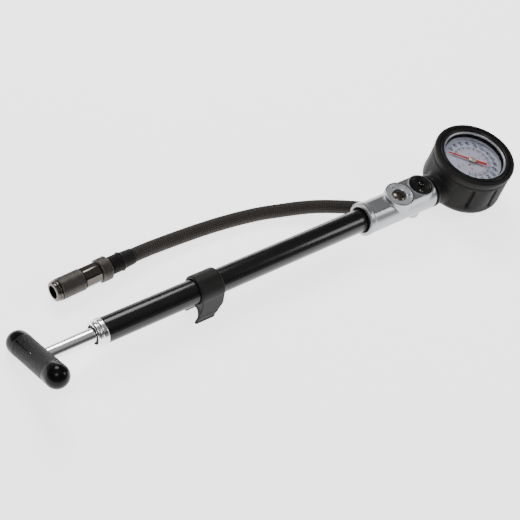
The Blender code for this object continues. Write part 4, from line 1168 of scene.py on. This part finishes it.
def on_dial(angle, radius):
    """A place on the dial's face, turned so that its X axis points outwards."""
    turn = math.radians(angle)
    return (
        GAUGE
        @ Matrix.Translation((radius * MM * math.cos(turn), radius * MM * math.sin(turn), DIAL_FACE * MM))
        @ Matrix.Rotation(turn, 4, "Z")
    )


def lettering(text, height, where):
    """Thin raised figures, centred on a place."""
    data = bpy.data.curves.new("figures", "FONT")
    data.body = text
    data.size = height * MM
    data.align_x = "CENTER"
    data.align_y = "CENTER"
    data.extrude = 0.01 * MM
    data.offset = 0.02 * height * MM
    data.resolution_u = 3
    obj = bpy.data.objects.new("figures", data)
    bpy.context.scene.collection.objects.link(obj)
    view = bpy.context.evaluated_depsgraph_get()
    mesh = bpy.data.meshes.new_from_object(obj.evaluated_get(view))
    shape = bmesh.new()
    shape.from_mesh(mesh)
    bpy.data.objects.remove(obj)
    bpy.data.curves.remove(data)
    bpy.data.meshes.remove(mesh)
    bmesh.ops.remove_doubles(shape, verts=shape.verts, dist=1e-7)
    bmesh.ops.transform(shape, matrix=where, verts=shape.verts)
    return shape


class PUMP_OT_dial(PumpOperator, bpy.types.Operator):
    """Makes the dial with its marks and numbers, and the stop pin."""

    bl_idname = "pump.dial"
    bl_label = "Dial"

    def execute(self, context):
        plate = softened([(1.1, 15.0), (24.0, 15.0), (24.0, 14.4), (1.1, 14.4), (1.1, 15.0)], 0.1)
        piece("dial_card", lathed(plate, GAUGE, 160), "dial", "pump_body", "dial_face", "dial_plate")
        top = sizes().scale_top
        upright = Matrix.Rotation(-math.pi / 2, 4, "Z")
        dark, red = [], []
        steps = 60
        for i in range(steps + 1):
            angle = FIRST_MARK - SCALE_SWEEP * i / steps
            major = i % 4 == 0
            low, wide = (11.6, 0.27) if major else (12.2, 0.16)
            dark.append(boxed((low, -wide, -0.01), (14.2, wide, 0.01), on_dial(angle, 0.0)))
            if major and i:
                spot = on_dial(angle, 17.1)
                flat = Matrix.Translation(spot.to_translation()) @ upright
                dark.append(lettering(str(top * i // steps), 3.5, flat))
        bars = round(top * BAR_PER_PSI)
        for i in range(bars + 1):
            angle = FIRST_MARK - SCALE_SWEEP * i / (top * BAR_PER_PSI)
            major = i % 5 == 0
            red.append(boxed((9.2 if major else 9.9, -0.14, -0.01), (10.8, 0.14, 0.01), on_dial(angle, 0.0)))
            if major and i:
                flat = Matrix.Translation(on_dial(angle, 7.4).to_translation()) @ upright
                red.append(lettering(str(i), 2.3, flat))
        for text, x in (("psi", -12.5), ("bar", -8.6)):
            spot = GAUGE @ Matrix.Translation((x * MM, 0.0, DIAL_FACE * MM)) @ upright
            (dark if text == "psi" else red).append(lettering(text, 2.0, spot))
        arc = lathed([(11.0, 15.03), (11.2, 15.03), (11.2, 15.01), (11.0, 15.01)], GAUGE, 160, loop=True)
        red.append(arc)
        piece("dial_numbers", joined(*dark), "print", "pump_body", "dial_face")
        piece("dial_inner_scale", joined(*red), "red_print", "pump_body", "dial_face")
        turn = math.radians(204.0)
        spot = GAUGE @ Matrix.Translation((4.8 * MM * math.cos(turn), 4.8 * MM * math.sin(turn), 0.0))
        stub = softened([(0.0, 15.8), (0.8, 15.8), (0.8, 15.3), (0.0, 15.3)], 0.3)
        piece("stop_pin", lathed(stub, spot, 32), "brass", "pump_body", "brass", "dial_pin")
        return {"FINISHED"}


class PUMP_OT_pointer(PumpOperator, bpy.types.Operator):
    """Makes the tapered needle with its heavier tail, and its hub."""

    bl_idname = "pump.pointer"
    bl_label = "Pointer"

    def execute(self, context):
        shape = bmesh.new()
        outline = [
            (18.4, 0.0), (17.4, 0.5), (2.0, 0.78), (-2.0, 0.78), (-3.5, 1.05), (-10.8, 0.95),
            (-10.8, -0.95), (-3.5, -1.05), (-2.0, -0.78), (2.0, -0.78), (17.4, -0.5),
        ]
        face = shape.faces.new([shape.verts.new((x * MM, y * MM, 16.4 * MM)) for x, y in outline])
        grown = bmesh.ops.extrude_face_region(shape, geom=[face])
        top = [v for v in grown["geom"] if isinstance(v, bmesh.types.BMVert)]
        bmesh.ops.translate(shape, verts=top, vec=(0.0, 0.0, 0.4 * MM))
        bmesh.ops.bevel(
            shape, geom=shape.edges[:], offset=0.06 * MM, affect="EDGES", segments=2, profile=0.5, material=-1
        )
        bmesh.ops.recalc_face_normals(shape, faces=shape.faces)
        bmesh.ops.transform(
            shape, matrix=GAUGE @ Matrix.Rotation(math.radians(FIRST_MARK), 4, "Z"), verts=shape.verts
        )
        piece("needle", shape, "needle", "pointer", "pointer_red", "pointer")
        line = softened([
            (0.0, 17.55), (0.5, 17.55), (0.7, 17.8), (1.2, 17.8), (2.3, 17.4), (2.6, 17.2),
            (2.6, 16.95), (0.0, 16.95),
        ], 0.15)
        piece("needle_hub", lathed(line, GAUGE, 72), "hub", "pointer", "brass", "pointer_hub")
        return {"FINISHED"}


class PUMP_OT_lens(PumpOperator, bpy.types.Operator):
    """Makes the gauge's clear window."""

    bl_idname = "pump.lens"
    bl_label = "Lens"

    def execute(self, context):
        line = softened([(0.0, 20.0), (24.1, 20.0), (24.1, 18.4), (0.0, 18.4)], 0.2)
        piece("window", lathed(line, GAUGE, 160), "lens", "pump_body", "clear_lens", "gauge_lens")
        return {"FINISHED"}


# ---- valve chuck ----
class PUMP_OT_strain_relief(PumpOperator, bpy.types.Operator):
    """Makes the ribbed rubber sleeve where the hose enters the chuck."""

    bl_idname = "pump.strain_relief"
    bl_label = "Strain relief"

    def execute(self, context):
        line = [(0.0, 7.44), (3.3, 7.44), (3.3, 18.6), (5.9, 18.6)]
        height = 18.6
        for _ in range(4):
            line += [(5.92, height - 0.1), (5.92, height - 0.95), (5.35, height - 1.15), (5.35, height - 1.5)]
            height -= 1.75
        line += [
            (5.8, height), (5.85, 10.4), (6.35, 10.0), (6.35, 9.2), (5.8, 8.8), (5.55, 8.2),
            (5.4, 5.0), (5.2, 1.0), (4.9, 0.0),
            (0.0, 0.0),
        ]
        piece("strain_relief", lathed(softened(line, 0.25), CHUCK, 96), "rubber", "pump_body", "black_rubber",
              "chuck_boot")
        return {"FINISHED"}


def knurl_tube(radius, low, high, inner, cells, pitch, depth, edge):
    """A ring whose outside is cut with crossed grooves that leave small points."""
    around = cells * 5
    rows = max(8, round((high - low) / pitch * 5))
    slope = 0.5
    profile = [(inner, low), (radius - edge, low), (radius, low + edge * 0.8)]
    inside = [low + edge * 0.8 + (high - low - edge * 1.6) * k / rows for k in range(1, rows)]
    profile += [(radius, h) for h in inside]
    profile += [(radius, high - edge * 0.8), (radius - edge, high), (inner, high)]
    shape = lathed(profile, Matrix(), around, loop=True)

    # Each point's second number is its crest, which the knurled finish turns into painted shade where it is
    # low (in the grooves and on the inner and end faces) and a painted highlight where it is high.
    def cut(point):
        flat = Vector((point.x, point.y, 0.0))
        if flat.length < (radius - 0.02) * MM:
            return Vector(), 0.3
        height = point.z / MM
        turn = math.atan2(flat.y, flat.x) / TAU * cells
        lean = height / pitch
        first = abs(((turn + lean * slope * 2) % 1.0) - 0.5) * 2
        second = abs(((turn - lean * slope * 2) % 1.0) - 0.5) * 2
        point_high = min(first, second)
        fade = smooth_step(height, low + edge * 0.8, low + edge * 1.6) * smooth_step(
            -height, -(high - edge * 0.8), -(high - edge * 1.6))
        high_share = 1.0 - fade * (1.0 - min(1.0, point_high * 1.5))
        return -flat.normalized() * depth * (1.0 - high_share), high_share

    return shape, cut


class PUMP_OT_collar_nut(PumpOperator, bpy.types.Operator):
    """Makes the knurled collar nut that pushes the valve pin."""

    bl_idname = "pump.collar_nut"
    bl_label = "Collar nut"

    def execute(self, context):
        shape, cut = knurl_tube(7.75, 18.9, 26.3, 5.1, 46, 1.05, sizes().knurl_depth, 0.7)
        nut = pressed(as_object("collar_nut", shape), cut, "crest")
        nut.data.transform(CHUCK)
        place_piece(nut, "knurl", "knob", "gunmetal", "chuck_knob", sharp=60.0)
        return {"FINISHED"}


class PUMP_OT_chuck_core(PumpOperator, bpy.types.Operator):
    """Makes the chuck's polished body, with eight flats and a swivel end."""

    bl_idname = "pump.chuck_core"
    bl_label = "Chuck body"

    def execute(self, context):
        core = as_object("chuck_core", lathed(softened([
            (0.0, 45.7), (5.0, 45.7), (5.0, 38.1), (6.0, 38.0), (6.75, 37.7), (6.75, 26.9),
            (6.0, 26.6), (4.8, 26.6),
            (4.8, 19.9), (3.0, 19.9), (3.0, 7.8), (0.0, 7.8),
        ], 0.12), CHUCK, 160))
        flats = []
        for i in range(8):
            where = CHUCK @ Matrix.Rotation(TAU * (i + 0.5) / 8, 4, "Z")
            flats.append(boxed((6.42, -6.0, 26.0), (9.0, 6.0, 37.9), where))
        air_way = pin(1.5, 0.0, 50.0, CHUCK, 32)
        carved(core, *flats, air_way)
        place_piece(core, "gunmetal", "pump_body", "gunmetal", "chuck_body", sharp=12.0)
        return {"FINISHED"}


class PUMP_OT_thimble(PumpOperator, bpy.types.Operator):
    """Makes the finely knurled thimble and the notched ring round the chuck's mouth."""

    bl_idname = "pump.thimble"
    bl_label = "Thimble"

    def execute(self, context):
        shape, cut = knurl_tube(7.0, 38.3, 54.8, 4.1, 40, 1.0, sizes().knurl_depth, 0.4)
        thimble = pressed(as_object("thimble", shape), cut, "crest")
        thimble.data.transform(CHUCK)
        carved(thimble, pin(5.3, 30.0, 48.3, CHUCK, 96))
        place_piece(thimble, "knurl", "thimble", "gunmetal", "chuck_thimble", sharp=60.0)
        ring = as_object("mouth_ring", lathed(softened([
            (4.3, 58.6), (5.6, 58.6), (6.3, 58.2), (6.45, 57.2), (6.1, 56.9), (6.1, 56.5), (6.8, 56.2),
            (6.8, 55.4),
            (6.4, 55.1), (4.3, 55.1), (4.3, 58.6),
        ], 0.14), CHUCK, 128))
        notches = []
        for i in range(12):
            turn = Matrix.Rotation(TAU * i / 12 + 0.1, 4, "Z") @ Matrix.Translation((6.5 * MM, 0.0, 0.0))
            notches.append(pin(0.42, 56.2, 57.3, CHUCK @ turn, 12))
        carved(ring, *notches)
        place_piece(ring, "gunmetal", "thimble", "gunmetal", "chuck_tip", sharp=30.0)
        return {"FINISHED"}


class PUMP_OT_ferrule(PumpOperator, bpy.types.Operator):
    """Makes the crimped ferrule where the hose leaves the head."""

    bl_idname = "pump.ferrule"
    bl_label = "Ferrule"

    def execute(self, context):
        line = [(0.0, 26.0), (4.7, 26.0), (5.0, 25.6)]
        for i in range(3):
            high = 24.8 - i * 1.6
            line += [(5.0, high), (4.75, high - 0.3), (4.75, high - 0.7), (5.0, high - 1.0)]
        line += [(5.0, 19.6), (4.7, 19.3), (0.0, 19.3)]
        piece("hose_crimp", lathed(softened(line, 0.15), HOSE_PORT, 96), "gunmetal", "pump_body", "gunmetal",
              "hose_ferrule")
        return {"FINISHED"}


INNER_LOOKS = {
    "brass": (
        "rod_bush", "piston", "bleed_stem", "bleed_guide", "check_seat", "gauge_stem",
        "movement_frame", "pinion",
        "sector_gear", "bourdon_tube", "chuck_pin",
    ),
    "steel": (
        "piston_circlip", "handle_insert", "bleed_spring", "check_ball", "check_spring", "hose_adapter",
        "gauge_case",
    ),
    "rubber": ("piston_seal", "bleed_seal", "chuck_gasket"),
}


class PUMP_OT_inner_pieces(PumpOperator, bpy.types.Operator):
    """Gives the pump's inner pieces their brass, steel and rubber."""

    bl_idname = "pump.inner_pieces"
    bl_label = "Inner pieces"

    def execute(self, context):
        for look, names in INNER_LOOKS.items():
            for name in names:
                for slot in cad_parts[name].material_slots:
                    slot.material = finish(look)
        return {"FINISHED"}


# ---- stage ----
class PUMP_OT_stage(PumpOperator, bpy.types.Operator):
    """Makes the pale floor and the soft lights."""

    bl_idname = "pump.stage"
    bl_label = "Stage"

    def execute(self, context):
        scene = context.scene
        shape = bmesh.new()
        bmesh.ops.create_grid(shape, x_segments=1, y_segments=1, size=3.0)
        floor = as_object("floor", shape)
        floor.data.materials.append(finish("floor"))
        world = bpy.data.worlds.new("soft_room")
        world.use_nodes = True
        tree = world.node_tree
        room = tree.nodes["Background"]
        view = tree.nodes.new("ShaderNodeTexCoord")
        parts = tree.nodes.new("ShaderNodeSeparateXYZ")
        shade = tree.nodes.new("ShaderNodeValToRGB")
        for position in (0.5, 0.66, 0.82):
            shade.color_ramp.elements.new(position)
        for stop, grey in zip(shade.color_ramp.elements, (0.5, 0.03, 0.05, 0.22, 0.42)):
            stop.color = (grey, grey, grey * 1.02, 1.0)
        tree.links.new(view.outputs["Generated"], parts.inputs["Vector"])
        tree.links.new(parts.outputs["Z"], shade.inputs["Fac"])
        tree.links.new(shade.outputs["Color"], room.inputs["Color"])
        room.inputs["Strength"].default_value = 1.0
        scene.world = world
        for name, spot, size, power in (
            ("key_light", (0.15, 0.75, 0.9), 0.55, 9.0),
            ("fill_light", (-0.55, -0.35, 1.2), 0.5, 4.0),
            ("rim_light", (0.9, -0.5, 0.7), 0.45, 4.0),
        ):
            light = bpy.data.lights.new(name, "AREA")
            light.shape = "DISK"
            light.size = size
            light.energy = power
            lamp = bpy.data.objects.new(name, light)
            aim = Vector((0.0, 0.0, 0.0)) - Vector(spot)
            lamp.matrix_world = Matrix.Translation(spot) @ aim.to_track_quat("-Z", "Y").to_matrix().to_4x4()
            scene.collection.objects.link(lamp)
        return {"FINISHED"}


STEPS = (
    PUMP_OT_camera,
    PUMP_OT_strain_relief,
    PUMP_OT_collar_nut,
    PUMP_OT_chuck_core,
    PUMP_OT_thimble,
    PUMP_OT_hose,
    PUMP_OT_barrel,
    PUMP_OT_gland,
    PUMP_OT_rod,
    PUMP_OT_grip,
    PUMP_OT_clip,
    PUMP_OT_head,
    PUMP_OT_bleed_valve,
    PUMP_OT_port,
    PUMP_OT_boot,
    PUMP_OT_gauge_rings,
    PUMP_OT_dial,
    PUMP_OT_pointer,
    PUMP_OT_lens,
    PUMP_OT_ferrule,
    PUMP_OT_inner_pieces,
    PUMP_OT_stage,
)


class PUMP_PT_sidebar(bpy.types.Panel):
    """The pump's sizes, colours and pieces in the 3D view's sidebar."""

    bl_idname = "PUMP_PT_sidebar"
    bl_label = "Shock pump"
    bl_space_type = "VIEW_3D"
    bl_region_type = "UI"
    bl_category = "Pump"

    def draw(self, context):
        for group in (context.scene.pump_sizes, context.scene.pump_colours):
            column = self.layout.column()
            for name in group.bl_rna.properties.keys():
                if name not in ("rna_type", "name"):
                    column.prop(group, name)
        column = self.layout.column()
        for step in STEPS:
            column.operator(step.bl_idname)


CLASSES = (PumpSizes, PumpColours, *STEPS, PUMP_PT_sidebar)


def register():
    for item in CLASSES:
        bpy.utils.register_class(item)
    bpy.types.Scene.pump_sizes = PointerProperty(type=PumpSizes)
    bpy.types.Scene.pump_colours = PointerProperty(type=PumpColours)


def unregister():
    del bpy.types.Scene.pump_colours
    del bpy.types.Scene.pump_sizes
    for item in reversed(CLASSES):
        bpy.utils.unregister_class(item)


def corners(box):
    return [[float(value) for value in corner] for corner in box]


def main():
    register()
    for step in STEPS:
        group, name = step.bl_idname.split(".")
        getattr(getattr(bpy.ops, group), name)()


if __name__ == "__main__":
    main()
